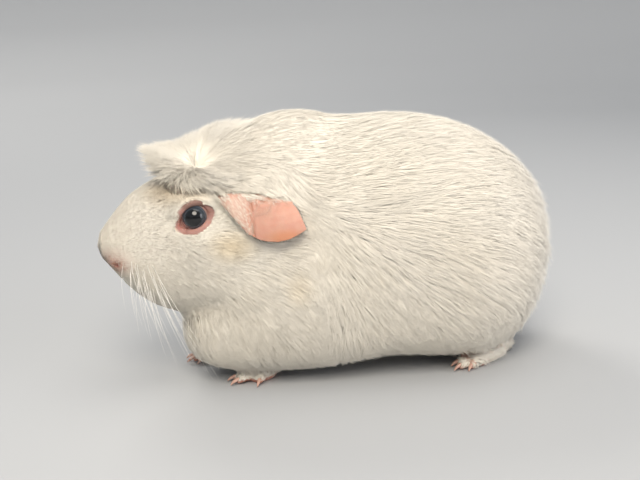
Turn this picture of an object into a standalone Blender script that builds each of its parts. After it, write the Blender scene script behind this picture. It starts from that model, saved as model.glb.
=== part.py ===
"""Life-size model of a young crested guinea pig with a short, smooth coat, crouched at rest.

The solids follow the outline of the coat, out to its tips. The body is modelled whole and then
parted with thin cuts into head, neck, chest and trunk. Ears, crest, eyes, legs and claws are
solids of their own, seated in pockets of the body.

Frame: metres, +Z up, nose towards -X, the animal's left side towards -Y, feet on Z = 0.
Sizes in the tables are in millimetres, and place() turns them into metres.
"""

import math
from dataclasses import astuple, dataclass

import bmesh
import bpy
from mathutils import Euler, Matrix, Vector

MM = 0.001

# Driving dimensions of the whole animal, in metres, out to the tips of the coat.
BODY_LENGTH = 0.1891
BODY_WIDTH = 0.0938
BODY_HEIGHT = 0.1088

# The tables below are drawn in millimetres for an animal of this length, width and height,
# and are stretched to the dimensions above. Their X starts behind the shoulder blades, and
# the middle of the animal's length lies at DRAWN_MIDDLE.
DRAWN = Vector((189.1, 93.8, 108.8))
DRAWN_MIDDLE = Vector((3.45, 0.0, 0.0))
STRETCH = Vector((BODY_LENGTH / DRAWN.x, BODY_WIDTH / DRAWN.y, BODY_HEIGHT / DRAWN.z))

CUT = 0.0003  # gap between neighbouring solids
WELD = 0.000002  # points closer than this are one

BODY_SIDES = 32
HEAD_RINGS = 23
TRUNK_RINGS = 22
CREST_SIDES = 20
CREST_RINGS = 11

EYE_RADIUS = 5.5 * MM
EYE_CENTRE = (-53.6, 16.9, 72.2)
EYE_SEGMENTS = 14
EYE_RINGS = 8

EAR_THICKNESS = 1.3 * MM

LEFT, RIGHT = -1, 1
SIDES = ((LEFT, "left"), (RIGHT, "right"))

# Base colour and roughness of each kind of surface.
COAT = ((0.80, 0.76, 0.66), 0.85)
SKIN = ((0.78, 0.40, 0.34), 0.60)
EYE = ((0.02, 0.022, 0.03), 0.08)
CLAW = ((0.72, 0.50, 0.42), 0.40)


def place(point, side=RIGHT):
    """A point of the tables as metres in the model's frame, on the given side."""
    drawn = Vector((point[0], point[1] * side, point[2])) - DRAWN_MIDDLE
    return drawn * STRETCH


# ---------------------------------------------------------------- scene and materials

def clear_scene():
    for obj in list(bpy.data.objects):
        bpy.data.objects.remove(obj, do_unlink=True)


def new_collection(name):
    collection = bpy.data.collections.new(name)
    bpy.context.scene.collection.children.link(collection)
    return collection


def finish(obj, look, smooth_angle=50):
    """Gives the object its own material and smooth shading."""
    colour, roughness = look
    material = bpy.data.materials.new(obj.name)
    material.use_nodes = True
    shader = material.node_tree.nodes["Principled BSDF"]
    shader.inputs["Base Color"].default_value = (*colour, 1.0)
    shader.inputs["Roughness"].default_value = roughness
    shader.inputs["Metallic"].default_value = 0.0
    obj.data.materials.clear()
    obj.data.materials.append(material)
    obj.data.shade_smooth()
    obj.data.set_sharp_from_angle(angle=math.radians(smooth_angle))


def mesh_object(name, bm, collection):
    mesh = bpy.data.meshes.new(name)
    bm.to_mesh(mesh)
    bm.free()
    obj = bpy.data.objects.new(name, mesh)
    collection.objects.link(obj)
    return obj


def move_to(obj, collection):
    for holder in list(obj.users_collection):
        holder.objects.unlink(obj)
    collection.objects.link(obj)


def evaluated_mesh(obj):
    """The object's mesh with its modifiers applied, in world space."""
    bpy.context.view_layer.update()
    graph = bpy.context.evaluated_depsgraph_get()
    mesh = bpy.data.meshes.new_from_object(obj.evaluated_get(graph))
    mesh.transform(obj.matrix_world)
    return mesh


def as_helper(obj):
    obj.hide_render = True
    obj.display_type = "WIRE"
    return obj


# ---------------------------------------------------------------- lofted forms

@dataclass
class Ring:
    """One upright cross-section: where it is, how high, deep and wide, and how square."""

    x: float
    top: float
    bottom: float
    half_width: float
    widest: float = 0.45  # height of the widest point, as a share from bottom to top
    square_top: float = 2.0  # 2 is an ellipse, more is squarer
    square_bottom: float = 2.0


# The head, from the nose tip to where the nape is lost in the trunk.
HEAD = [
    Ring(-91.1, 59.6, 59.0, 0.3, 0.50),
    Ring(-90.6, 62.2, 56.6, 3.4, 0.50),
    Ring(-89.2, 65.4, 54.2, 6.0, 0.48),
    Ring(-86.8, 68.2, 51.0, 8.2, 0.45),
    Ring(-84.0, 71.6, 46.8, 10.0, 0.42),
    Ring(-80.6, 75.3, 42.0, 11.8, 0.40),
    Ring(-76.0, 79.6, 37.4, 14.0, 0.40),
    Ring(-70.0, 83.0, 32.8, 16.4, 0.42),
    Ring(-62.5, 86.4, 29.4, 18.8, 0.46),
    Ring(-54.0, 90.4, 26.5, 21.6, 0.46),
    Ring(-44.0, 95.6, 24.0, 25.2, 0.42),
    Ring(-32.0, 102.6, 20.0, 28.6, 0.42),
    Ring(-20.0, 107.4, 17.0, 30.0, 0.42),
    Ring(-8.0, 108.4, 16.0, 29.0, 0.42),
    Ring(4.0, 106.0, 20.0, 25.0, 0.42),
    Ring(13.0, 99.0, 30.0, 18.0, 0.45),
    Ring(18.0, 80.0, 44.0, 9.0, 0.50),
    Ring(19.0, 61.0, 59.0, 1.0, 0.50),
]

# The trunk with the chest, from under the throat to the rump.
TRUNK = [
    Ring(-61.4, 21.0, 19.0, 1.0, 0.50),
    Ring(-60.6, 27.0, 14.0, 7.4, 0.45, 2.0, 2.2),
    Ring(-58.4, 33.5, 10.2, 12.6, 0.40, 2.0, 2.4),
    Ring(-53.0, 43.0, 6.8, 18.0, 0.36, 2.0, 2.6),
    Ring(-45.0, 57.0, 4.8, 23.4, 0.34, 2.0, 2.8),
    Ring(-35.0, 71.0, 3.6, 28.4, 0.34, 2.0, 3.0),
    Ring(-22.0, 86.0, 3.0, 33.0, 0.34, 2.0, 3.1),
    Ring(-8.0, 97.5, 3.0, 36.6, 0.34, 2.1, 3.2),
    Ring(4.0, 103.6, 3.6, 39.2, 0.35, 2.1, 3.2),
    Ring(16.0, 104.4, 5.6, 41.4, 0.36, 2.1, 3.2),
    Ring(28.0, 104.8, 5.2, 43.6, 0.37, 2.1, 3.2),
    Ring(40.0, 104.2, 3.6, 45.0, 0.37, 2.1, 3.2),
    Ring(51.0, 101.8, 2.8, 45.6, 0.37, 2.1, 3.1),
    Ring(62.0, 98.2, 3.0, 44.6, 0.38, 2.1, 2.9),
    Ring(72.5, 92.8, 4.8, 41.2, 0.40, 2.1, 2.6),
    Ring(81.0, 86.4, 8.2, 35.8, 0.43, 2.0, 2.3),
    Ring(87.6, 79.8, 13.2, 28.8, 0.47, 2.0, 2.1),
    Ring(92.2, 73.4, 19.6, 21.6, 0.50, 2.0, 2.0),
    Ring(95.6, 67.2, 28.0, 14.2, 0.52, 2.0, 2.0),
    Ring(97.4, 60.0, 36.0, 7.6, 0.52, 2.0, 2.0),
    Ring(98.0, 49.0, 45.0, 1.0, 0.50, 2.0, 2.0),
]

# The crest: a forelock that fans from a whorl on the crown and juts over the brow.
CREST = [
    Ring(-71.4, 96.4, 95.2, 2.0, 0.50),
    Ring(-70.6, 97.4, 90.4, 6.4, 0.50),
    Ring(-68.4, 97.2, 83.6, 10.4, 0.55),
    Ring(-64.0, 97.0, 78.4, 14.0, 0.55),
    Ring(-58.0, 98.8, 75.4, 18.0, 0.52),
    Ring(-51.0, 101.2, 74.4, 21.4, 0.50),
    Ring(-43.0, 104.2, 76.6, 23.4, 0.48),
    Ring(-35.0, 106.8, 82.0, 23.6, 0.46),
    Ring(-26.0, 108.4, 89.0, 21.6, 0.46),
    Ring(-16.0, 108.8, 97.0, 15.0, 0.50),
    Ring(-9.0, 107.6, 105.0, 2.0, 0.50),
]


def chord_knots(rings):
    """Parameter of each ring: the distance walked from ring to ring in all their sizes."""
    knots = [0.0]
    for first, second in zip(rings, rings[1:]):
        step = math.dist(astuple(first)[:4], astuple(second)[:4])
        knots.append(knots[-1] + step)
    return knots


def blend_rings(rings, knots, at):
    """The ring at parameter `at`, by a cubic through the neighbouring rings."""
    last = len(rings) - 2
    i = min(max(sum(knot <= at for knot in knots) - 1, 0), last)
    span = knots[i + 1] - knots[i]
    t = (at - knots[i]) / span

    def slope(j, field):
        low, high = max(j - 1, 0), min(j + 1, len(rings) - 1)
        rise = astuple(rings[high])[field] - astuple(rings[low])[field]
        return rise / (knots[high] - knots[low]) * span

    sizes = []
    for field in range(len(astuple(rings[0]))):
        start, end = astuple(rings[i])[field], astuple(rings[i + 1])[field]
        sizes.append(
            (2 * t**3 - 3 * t**2 + 1) * start
            + (t**3 - 2 * t**2 + t) * slope(i, field)
            + (3 * t**2 - 2 * t**3) * end
            + (t**3 - t**2) * slope(i + 1, field)
        )
    return Ring(*sizes)


def ring_point(ring, angle):
    """A point of the cross-section. Angle 0 is the right side and a quarter turn is the top."""
    middle = ring.bottom + ring.widest * (ring.top - ring.bottom)
    above = math.sin(angle) >= 0
    height = ring.top - middle if above else middle - ring.bottom
    power = 2 / (ring.square_top if above else ring.square_bottom)
    across = math.copysign(abs(math.cos(angle)) ** power, math.cos(angle))
    up = math.copysign(abs(math.sin(angle)) ** power, math.sin(angle))
    return place((ring.x, ring.half_width * across, middle + height * up))


def loft(name, rings, count, sides, collection):
    """A closed skin through the rings, with a pole at each end."""
    knots = chord_knots(rings)
    bm = bmesh.new()
    loops = []
    for k in range(1, count):
        ring = blend_rings(rings, knots, knots[-1] * k / count)
        angles = [2 * math.pi * j / sides for j in range(sides)]
        loops.append([bm.verts.new(ring_point(ring, a)) for a in angles])
    for first, second in zip(loops, loops[1:]):
        for j in range(sides):
            n = (j + 1) % sides
            bm.faces.new((first[j], first[n], second[n], second[j]))
    for ring, around in ((rings[0], loops[0]), (rings[-1], loops[-1])):
        pole = bm.verts.new(ring_point(ring, 0) * 0.5 + ring_point(ring, math.pi) * 0.5)
        for j in range(sides):
            bm.faces.new((pole, around[j], around[(j + 1) % sides]))
    bmesh.ops.recalc_face_normals(bm, faces=bm.faces)
    return mesh_object(name, bm, collection)


def swell(obj, centre, radius, push):
    """Moves the points near `centre` by `push` on both sides, less and less out to `radius`."""
    for side in (LEFT, RIGHT):
        middle = place(centre, side)
        move = Vector((push[0], push[1] * side, push[2])) * MM
        for vertex in obj.data.vertices:
            far = (vertex.co - middle).length / (radius * MM)
            if far < 1:
                vertex.co += move * (1 - far * far) ** 2


# ---------------------------------------------------------------- cutting and joining

def boolean(obj, other, operation):
    modifier = obj.modifiers.new(operation.title(), "BOOLEAN")
    modifier.operation = operation
    modifier.solver = "EXACT"
    modifier.object = other
    return modifier


def apply_modifiers(obj):
    """Makes the shape its own mesh, in triangles, without the slivers that Booleans leave."""
    mesh = evaluated_mesh(obj)
    bm = bmesh.new()
    bm.from_mesh(mesh)
    bmesh.ops.remove_doubles(bm, verts=bm.verts, dist=WELD)
    bmesh.ops.triangulate(bm, faces=bm.faces)
    bm.to_mesh(mesh)
    bm.free()
    obj.modifiers.clear()
    obj.matrix_world = Matrix.Identity(4)
    obj.data = mesh
    return obj


def half(obj, point, normal):
    """Keeps the side of the mesh that lies against the normal, and closes the cut."""
    bm = bmesh.new()
    bm.from_mesh(obj.data)
    geometry = bm.verts[:] + bm.edges[:] + bm.faces[:]
    cut = bmesh.ops.bisect_plane(
        bm, geom=geometry, dist=1e-7, plane_co=point, plane_no=normal, clear_outer=True
    )
    rim = [e for e in cut["geom_cut"] if isinstance(e, bmesh.types.BMEdge)]
    bmesh.ops.triangle_fill(bm, edges=rim, use_beauty=True)
    bmesh.ops.recalc_face_normals(bm, faces=bm.faces)
    bm.to_mesh(obj.data)
    bm.free()
    return obj


def copy_of(obj, name, collection):
    twin = obj.copy()
    twin.data = obj.data.copy()
    twin.name = name
    collection.objects.link(twin)
    return twin


def grown(obj, collection):
    """A slightly larger copy, which cuts a pocket that clears the piece all round."""
    mesh = evaluated_mesh(obj)
    cutter = bpy.data.objects.new(obj.name + "_pocket", mesh)
    collection.objects.link(cutter)
    normals = [vertex.normal.copy() for vertex in mesh.vertices]
    for vertex, normal in zip(mesh.vertices, normals):
        vertex.co += normal * CUT
    return as_helper(cutter)


# ---------------------------------------------------------------- the body

def model_head(collection):
    """The head without its crest: a blunt wedge with a Roman nose and full cheeks."""
    head = loft("head_form", HEAD, HEAD_RINGS, BODY_SIDES, collection)
    swell(head, (-80.5, 7.0, 55.0), 8.0, (-0.4, 1.8, 0.2))  # whisker pads
    swell(head, (-86.5, 4.5, 61.5), 4.5, (-0.3, 0.8, 0.5))  # wings of the nose
    swell(head, (-58.0, 15.0, 77.5), 9.0, (-0.6, 1.6, 0.8))  # brows
    swell(head, (-50.0, 20.0, 62.0), 13.0, (0.0, 2.0, -0.3))  # cheek bones
    swell(head, (-40.0, 20.0, 38.0), 18.0, (0.0, 2.4, -1.0))  # jowls
    return head


def model_trunk(collection):
    """Chest, back, belly and rump, with the shoulders and thighs that fill them out."""
    trunk = loft("trunk_form", TRUNK, TRUNK_RINGS, BODY_SIDES, collection)
    swell(trunk, (-22.0, 28.0, 34.0), 22.0, (0.0, 3.0, 0.0))  # shoulders
    swell(trunk, (58.0, 40.0, 34.0), 26.0, (0.0, 1.8, -0.5))  # thighs
    return trunk


# ---------------------------------------------------------------- tubes: limbs, toes and claws

def tube(name, path, radii, sides, collection, flatness=1.0):
    """A closed tapering tube through the path, with flat ends.

    Flatness scales the upright radius, so that 0.7 gives a paw that is wider than it is high.
    """
    bm = bmesh.new()
    loops = []
    for i, (point, radius) in enumerate(zip(path, radii)):
        ahead = path[min(i + 1, len(path) - 1)] - path[max(i - 1, 0)]
        across = ahead.cross(Vector((0, 0, 1)))
        if across.length < 1e-9:
            across = Vector((0, 1, 0))
        across.normalize()
        upright = across.cross(ahead).normalized()
        ring = []
        for j in range(sides):
            angle = 2 * math.pi * j / sides
            reach = across * math.cos(angle) + upright * math.sin(angle) * flatness
            ring.append(bm.verts.new(point + reach * radius))
        loops.append(ring)
    for first, second in zip(loops, loops[1:]):
        for j in range(sides):
            n = (j + 1) % sides
            bm.faces.new((first[j], first[n], second[n], second[j]))
    for ring in (loops[0], loops[-1]):
        bm.faces.new(ring)
    bmesh.ops.recalc_face_normals(bm, faces=bm.faces)
    return mesh_object(name, bm, collection)


def bent(points, count):
    """A smooth path of `count` points through three or more given ones, in metres."""
    path = []
    for k in range(count):
        at = k / (count - 1) * (len(points) - 1)
        i = min(int(at), len(points) - 2)
        t = at - i
        before = points[max(i - 1, 0)]
        after = points[min(i + 2, len(points) - 1)]
        a, b = points[i], points[i + 1]
        path.append(
            0.5
            * (
                2 * a
                + (b - before) * t
                + (2 * before - 5 * a + 4 * b - after) * t * t
                + (3 * a - before - 3 * b + after) * t**3
            )
        )
    return path


@dataclass
class Foot:
    """A foot by its heel, its heading, and the toes that spread from its ball."""

    name: str
    side: int
    heel: tuple  # where the limb comes down to the foot
    joint: tuple  # where the limb is lost in the body
    heading: float  # degrees outwards from straight ahead
    toes: tuple  # of each toe: degrees outwards from the heading, length, how far back it springs
    limb_radii: tuple  # from the heel up
    length: float  # from the heel to the ball
    breadth: float  # half the breadth of the ball
    toe_radius: float
    claw_length: float


FORE_TOES = ((-40, 6.2, 1.0), (-16, 7.8, 0.0), (8, 8.0, 0.2), (54, 6.8, 3.6))
HIND_TOES = ((-18, 8.0, 0.4), (2, 9.4, 0.0), (24, 8.0, 1.2))
FORE_LIMB = (4.0, 5.4, 6.4)
HIND_LIMB = (4.6, 7.2, 8.8)

FEET = [
    Foot("front_leg_left", LEFT, (-26.8, 12.6, 4.0), (-16.0, 17.0, 24.0), 12,
         FORE_TOES, FORE_LIMB, 6.6, 4.6, 1.75, 4.4),
    Foot("front_leg_right", RIGHT, (-42.0, 15.0, 4.0), (-31.0, 17.5, 22.0), 4,
         FORE_TOES, FORE_LIMB, 6.6, 4.6, 1.75, 4.4),
    Foot("hind_leg_left", LEFT, (72.0, 19.4, 4.2), (66.0, 23.0, 23.0), 26,
         HIND_TOES, HIND_LIMB, 16.0, 4.8, 2.0, 4.4),
    Foot("hind_leg_right", RIGHT, (74.0, 20.0, 4.2), (68.0, 23.0, 23.0), 22,
         HIND_TOES, HIND_LIMB, 16.0, 4.8, 2.0, 4.4),
]  # fmt: skip

BALL_HEIGHT = 2.1
HEEL_HEIGHT = 3.0
PAW_FLATNESS = 0.72
TOE_SIDES = 6
LIMB_SIDES = 8
CLAW_RADII = (0.92, 0.84, 0.62, 0.16)
CLAW_DROP = 1.5


def floor_block(collection):
    """Everything below the floor, which cuts the soles off level."""
    bpy.ops.mesh.primitive_cube_add(size=2 * BODY_LENGTH, location=(0, 0, -BODY_LENGTH))
    block = bpy.context.object
    block.name = "floor_block"
    move_to(block, collection)
    return as_helper(block)


def heading_vector(foot, outwards):
    """Level unit vector at so many degrees outwards from straight ahead."""
    angle = math.radians(outwards)
    return Vector((-math.cos(angle), math.sin(angle) * foot.side, 0))


def raised(point, height):
    return Vector((point.x, point.y, height * MM))


def build_limb(foot, collection):
    heel, joint = place(foot.heel, foot.side), place(foot.joint, foot.side)
    low, middle, high = (radius * MM for radius in foot.limb_radii)
    path = bent([heel, heel.lerp(joint, 0.5), joint], 4)
    return tube(foot.name, path, [low, (low + middle) / 2, middle, high], LIMB_SIDES, collection)


def build_sole(foot, heel, ball, collection):
    broad = foot.breadth * MM
    ahead = (ball - heel).normalized()
    back = raised(heel - ahead * 2.6 * MM, HEEL_HEIGHT)
    front = ball + ahead * 2.6 * MM
    path = bent([back, back.lerp(ball, 0.5), ball, front], 5)
    radii = [broad * share for share in (0.5, 0.92, 1.0, 1.02, 0.6)]
    return tube(foot.name + "_sole", path, radii, LIMB_SIDES, collection, PAW_FLATNESS)


def build_toe(foot, number, ball, collection, helpers):
    """One toe and the claw that is set in its tip."""
    turn, length, behind = foot.toes[number]
    out = heading_vector(foot, foot.heading + turn)
    root = ball - heading_vector(foot, foot.heading) * behind * MM + out * 1.2 * MM
    root.z = 1.9 * MM
    knuckle = raised(root + out * length * 0.62 * MM, 2.6)
    tip = raised(root + out * length * MM, 1.45)
    radii = [foot.toe_radius * MM * share for share in (0.95, 1.05, 1.0, 0.6)]
    name = f"{foot.name}_toe_{number + 1}"
    toe = tube(name, bent([root, knuckle, tip], 4), radii, TOE_SIDES, helpers)

    start = raised(tip - out * 1.4 * MM, 2.2)
    middle = raised(start + out * foot.claw_length * 0.5 * MM, 2.2)
    end = raised(start + out * foot.claw_length * MM, 2.2 - CLAW_DROP)
    claw_name = foot.name.replace("_leg_", f"_claw_{number + 1}_")
    radii = [radius * MM for radius in CLAW_RADII]
    claw = tube(claw_name, bent([start, middle, end], 4), radii, TOE_SIDES, collection)
    return toe, claw


def build_foot(foot, floor, collection, helpers):
    """One limb with its sole and toes as a single solid, and its claws."""
    heel = place(foot.heel, foot.side)
    ball = heel + heading_vector(foot, foot.heading) * foot.length * MM
    ball.z = BALL_HEIGHT * MM
    limb = build_limb(foot, collection)
    boolean(limb, as_helper(build_sole(foot, heel, ball, helpers)), "UNION")
    claws = []
    for number in range(len(foot.toes)):
        toe, claw = build_toe(foot, number, ball, collection, helpers)
        boolean(limb, as_helper(toe), "UNION")
        claws.append(claw)
    boolean(limb, floor, "DIFFERENCE")
    apply_modifiers(limb)
    for claw in claws:
        boolean(limb, grown(claw, helpers), "DIFFERENCE")
    apply_modifiers(limb)
    return limb, claws


# ---------------------------------------------------------------- ears

# Root and margin of the ear at six places from its front corner to its back corner:
# along the body, out from the middle, and up.
EAR_ROOT = [
    (-44.6, 19.4, 79.0), (-40.0, 21.4, 80.4), (-34.5, 23.6, 80.4),
    (-28.5, 25.4, 79.8), (-22.0, 27.0, 78.6), (-16.2, 28.0, 76.2),
]  # fmt: skip
EAR_MARGIN = [
    (-43.4, 21.6, 76.6), (-38.4, 26.8, 70.2), (-33.8, 30.2, 64.2),
    (-27.4, 33.6, 61.8), (-19.6, 35.6, 62.2), (-12.4, 35.4, 66.2),
]  # fmt: skip
EAR_ROWS = 4
EAR_SET_IN = 2.6  # how deep the root stands in the head
EAR_FOLD = (0.0, -0.8, -1.6, 0.9, 0.4, 0.0)  # the fold behind the front flap, outwards


def build_ear(name, side, collection):
    """A thin petal that springs from the side of the head, bends over and hangs."""
    bm = bmesh.new()
    rows = []
    for row in range(-1, EAR_ROWS):
        v = max(row, 0) / (EAR_ROWS - 1)
        line = []
        for root, margin, fold in zip(EAR_ROOT, EAR_MARGIN, EAR_FOLD):
            x = root[0] + (margin[0] - root[0]) * v
            out = root[1] + (margin[1] - root[1]) * math.sin(v * math.pi / 2)
            out += fold * math.sin(v * math.pi)
            z = root[2] + (margin[2] - root[2]) * v**1.25
            if row < 0:
                out -= EAR_SET_IN
                z -= 0.4
            line.append(bm.verts.new(place((x, out, z), side)))
        rows.append(line)
    for first, second in zip(rows, rows[1:]):
        for j in range(len(first) - 1):
            face = (first[j], first[j + 1], second[j + 1], second[j])
            bm.faces.new(face if side == RIGHT else face[::-1])
    ear = mesh_object(name, bm, collection)
    smooth = ear.modifiers.new("Subdivision", "SUBSURF")
    smooth.levels = smooth.render_levels = 1
    smooth.boundary_smooth = "PRESERVE_CORNERS"
    shell = ear.modifiers.new("Solidify", "SOLIDIFY")
    shell.thickness = EAR_THICKNESS
    shell.offset = 0
    return apply_modifiers(ear)


# ---------------------------------------------------------------- eyes, nose and mouth

def spheroid(name, centre, radii, collection, segments, rings, turn=(0, 0, 0)):
    """A ball stretched by its three radii in metres, then turned about X, Y and Z in degrees."""
    bpy.ops.mesh.primitive_uv_sphere_add(segments=segments, ring_count=rings, radius=1)
    obj = bpy.context.object
    obj.name = name
    move_to(obj, collection)
    stretch = Matrix.Diagonal((*radii, 1.0))
    spin = Euler([math.radians(angle) for angle in turn]).to_matrix().to_4x4()
    obj.data.transform(Matrix.Translation(centre) @ spin @ stretch)
    return obj


# Centre, radii and turn of each hollow of the muzzle; the turns are for the right side.
NOSTRIL = ((-86.0, 6.2, 53.2), (2.1, 1.7, 0.9), (20, 30, -20))
MOUTH = ((-80.8, 3.6, 44.6), (3.4, 1.8, 0.7), (0, 40, 24))
LIP_CLEFT = ((-87.6, 0.0, 50.6), (1.4, 0.5, 3.6), (0, -38, 0))
HOLLOW_SEGMENTS, HOLLOW_RINGS = 8, 5


def muzzle_hollow(name, hollow, side, collection):
    centre, radii, (roll, pitch, yaw) = hollow
    radii = [radius * MM for radius in radii]
    turn = (roll * side, pitch, yaw * side)
    return as_helper(
        spheroid(
            name, place(centre, side), radii, collection, HOLLOW_SEGMENTS, HOLLOW_RINGS, turn
        )
    )


def muzzle_hollows(helpers):
    """Cutters for the nostrils, the cleft of the lip and the line of the mouth."""
    cutters = [muzzle_hollow("lip_cleft", LIP_CLEFT, RIGHT, helpers)]
    for side, word in SIDES:
        cutters.append(muzzle_hollow(f"nostril_{word}", NOSTRIL, side, helpers))
        cutters.append(muzzle_hollow(f"mouth_{word}", MOUTH, side, helpers))
    return cutters


# ---------------------------------------------------------------- parting the body

# Each cut is a plane square to the middle of the body, given by an upper and a lower point.
HEAD_CUT = ((15.0, 104.0), (-61.0, 33.0))
NECK_CUT = ((37.0, 104.0), (-59.0, 26.0))
CHEST_CUT = ((2.0, 80.0), (-6.0, 0.0))


def cut_plane(cut, shift):
    """The plane's point and its normal, which looks backwards, moved by `shift` along it."""
    upper, lower = (place((x, 0, z)) for x, z in cut)
    normal = (upper - lower).cross(Vector((0, 1, 0))).normalized()
    if normal.x < 0:
        normal.negate()
    return upper + normal * shift, normal


def front_of(obj, cut):
    point, normal = cut_plane(cut, -CUT / 2)
    return half(obj, point, normal)


def behind(obj, cut):
    point, normal = cut_plane(cut, CUT / 2)
    return half(obj, point, -normal)


def build_crest(body, collection, helpers):
    crest = loft("crest", CREST, CREST_RINGS, CREST_SIDES, collection)
    boolean(crest, grown(body, helpers), "DIFFERENCE")
    finish(apply_modifiers(crest), COAT)


def seat_eyes_and_ears(body, collection, helpers):
    for side, word in SIDES:
        centre, radii = place(EYE_CENTRE, side), (EYE_RADIUS,) * 3
        eye = spheroid(f"eye_{word}", centre, radii, collection, EYE_SEGMENTS, EYE_RINGS)
        finish(eye, EYE)
        boolean(body, grown(eye, helpers), "DIFFERENCE")
        ear = build_ear(f"ear_{word}", side, collection)
        finish(ear, SKIN)
        boolean(body, grown(ear, helpers), "DIFFERENCE")


def seat_feet(body, collection, helpers):
    floor = floor_block(helpers)
    for foot in FEET:
        limb, claws = build_foot(foot, floor, collection, helpers)
        finish(limb, SKIN)
        for claw in claws:
            finish(claw, CLAW)
        boolean(body, grown(limb, helpers), "DIFFERENCE")


def part_body(body, collection):
    """Parts the whole body with thin plane cuts into its four named lengths."""
    head = front_of(copy_of(body, "head", collection), HEAD_CUT)
    neck = front_of(behind(copy_of(body, "neck", collection), HEAD_CUT), NECK_CUT)
    chest = front_of(behind(copy_of(body, "chest", collection), NECK_CUT), CHEST_CUT)
    trunk = behind(behind(copy_of(body, "trunk", collection), NECK_CUT), CHEST_CUT)
    for length in (head, neck, chest, trunk):
        finish(length, COAT)


def main():
    clear_scene()
    animal = new_collection("guinea_pig")
    helpers = new_collection("helpers")

    body = model_head(helpers)
    boolean(body, as_helper(model_trunk(helpers)), "UNION")
    apply_modifiers(body)
    build_crest(body, animal, helpers)

    seat_eyes_and_ears(body, animal, helpers)
    for hollow in muzzle_hollows(helpers):
        boolean(body, hollow, "DIFFERENCE")
    seat_feet(body, animal, helpers)
    apply_modifiers(body)
    part_body(body, animal)
    as_helper(body)


main()
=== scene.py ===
"""A crested guinea pig as a still, life-size museum model.

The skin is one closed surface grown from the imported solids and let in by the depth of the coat. The
coat is solid mesh: thin three-sided hairs, gathered in locks, that rise from the skin and lie along
the solids' outline. Lengths inside the functions are in millimetres; the meshes are in metres.
"""

import math

import bmesh
import bpy
import numpy as np
from bpy.props import FloatProperty, FloatVectorProperty, PointerProperty
from mathutils import Matrix, Vector
from mathutils.bvhtree import BVHTree


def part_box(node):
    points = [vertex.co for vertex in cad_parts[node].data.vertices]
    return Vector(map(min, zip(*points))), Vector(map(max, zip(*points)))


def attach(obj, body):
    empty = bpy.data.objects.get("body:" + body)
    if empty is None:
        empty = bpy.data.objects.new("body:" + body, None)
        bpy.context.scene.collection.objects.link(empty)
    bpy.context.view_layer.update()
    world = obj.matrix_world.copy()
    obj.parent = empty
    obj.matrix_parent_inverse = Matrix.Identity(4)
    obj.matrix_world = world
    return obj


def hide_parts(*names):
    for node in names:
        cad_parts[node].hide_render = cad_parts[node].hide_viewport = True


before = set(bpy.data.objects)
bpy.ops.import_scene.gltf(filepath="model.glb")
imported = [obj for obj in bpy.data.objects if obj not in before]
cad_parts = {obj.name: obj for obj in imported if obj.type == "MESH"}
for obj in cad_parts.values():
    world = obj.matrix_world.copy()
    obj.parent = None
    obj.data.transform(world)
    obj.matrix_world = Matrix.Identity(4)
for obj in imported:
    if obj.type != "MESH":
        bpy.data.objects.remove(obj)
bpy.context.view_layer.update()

bl_info = {
    "name": "Crested Guinea Pig",
    "version": (1, 0, 0),
    "blender": (4, 5, 0),
    "location": "View3D > Sidebar > Guinea Pig",
    "description": "Skin, eyes, claws, coat and whiskers of a life-size guinea pig",
    "category": "Add Mesh",
}

MM = 0.001
SEED = 7
LEGS = ("front_leg_left", "front_leg_right", "hind_leg_left", "hind_leg_right")
EARS = ("ear_left", "ear_right")
EYES = ("eye_left", "eye_right")
FLESH = ("head", "neck", "chest", "trunk") + LEGS + EARS
SOLIDS = FLESH + EYES


def linear(colour):
    """An sRGB hex colour as linear red, green and blue."""
    parts = [int(colour[i:i + 2], 16) / 255 for i in (1, 3, 5)]
    return [c / 12.92 if c <= 0.04045 else ((c + 0.055) / 1.055) ** 2.4 for c in parts]


def smooth(low, high, value):
    """0 below low, 1 above high, with a soft step between."""
    t = np.clip((value - low) / (high - low), 0, 1)
    return t * t * (3 - 2 * t)


def hump(value, centre, width):
    """1 at the centre, falling softly to 0 a few widths away."""
    return np.exp(-((value - centre) / width) ** 2)


def from_table(value, rows):
    """A value looked up between the rows of a table of pairs."""
    return np.interp(value, *zip(*rows))


def unit(vectors):
    """Vectors at length one."""
    return vectors / np.maximum(np.linalg.norm(vectors, axis=-1, keepdims=True), 1e-9)


def middle(name):
    """Middle of a node's box, in millimetres."""
    low, high = np.array(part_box(name))
    return (low + high) / 2 / MM


# The eyeball sits a little behind and below the middle of its solid. The left eye stands for both.
EYE_SHIFT = np.array([0.9, 0.0, -1.1])
EYE = middle("eye_left") + EYE_SHIFT
EYE_RADIUS = np.ptp(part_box("eye_left"), axis=0).max() / 2 / MM
EYE_AXIS = np.array([-0.20, -0.97, 0.13]) / np.linalg.norm([-0.20, -0.97, 0.13])
# Along the lids towards the front corner, and across them upward.
EYE_ALONG = unit(np.array([-0.80, 0.18, -0.45]))
EYE_ALONG = unit(EYE_ALONG - EYE_AXIS * (EYE_ALONG @ EYE_AXIS))
EYE_ACROSS = np.cross(EYE_ALONG, EYE_AXIS)
LIDS = EYE + EYE_AXIS * 3
NOSE = np.array([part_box("head")[0][0] / MM + 2.5, 0.0, 58.0])
WHORL = np.array([-53.0, -7.0, 90.0])
# The hair of the back fans out from this height behind the ears.
FAN = np.array([-17.0, 0.0, 74.0])


# --- Settings -------------------------------------------------------------------------------------


def colour_setting(name, colour, description):
    """A colour for the panel."""
    return FloatVectorProperty(name=name, description=description, size=3, default=linear(colour),
                               subtype="COLOR")


def length_setting(name, default, description):
    """A length for the panel."""
    return FloatProperty(name=name, description=description, default=default, unit="LENGTH")


def angle_setting(name, degrees, description):
    """An angle for the panel."""
    return FloatProperty(name=name, description=description, default=math.radians(degrees),
                         unit="ROTATION")


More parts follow.
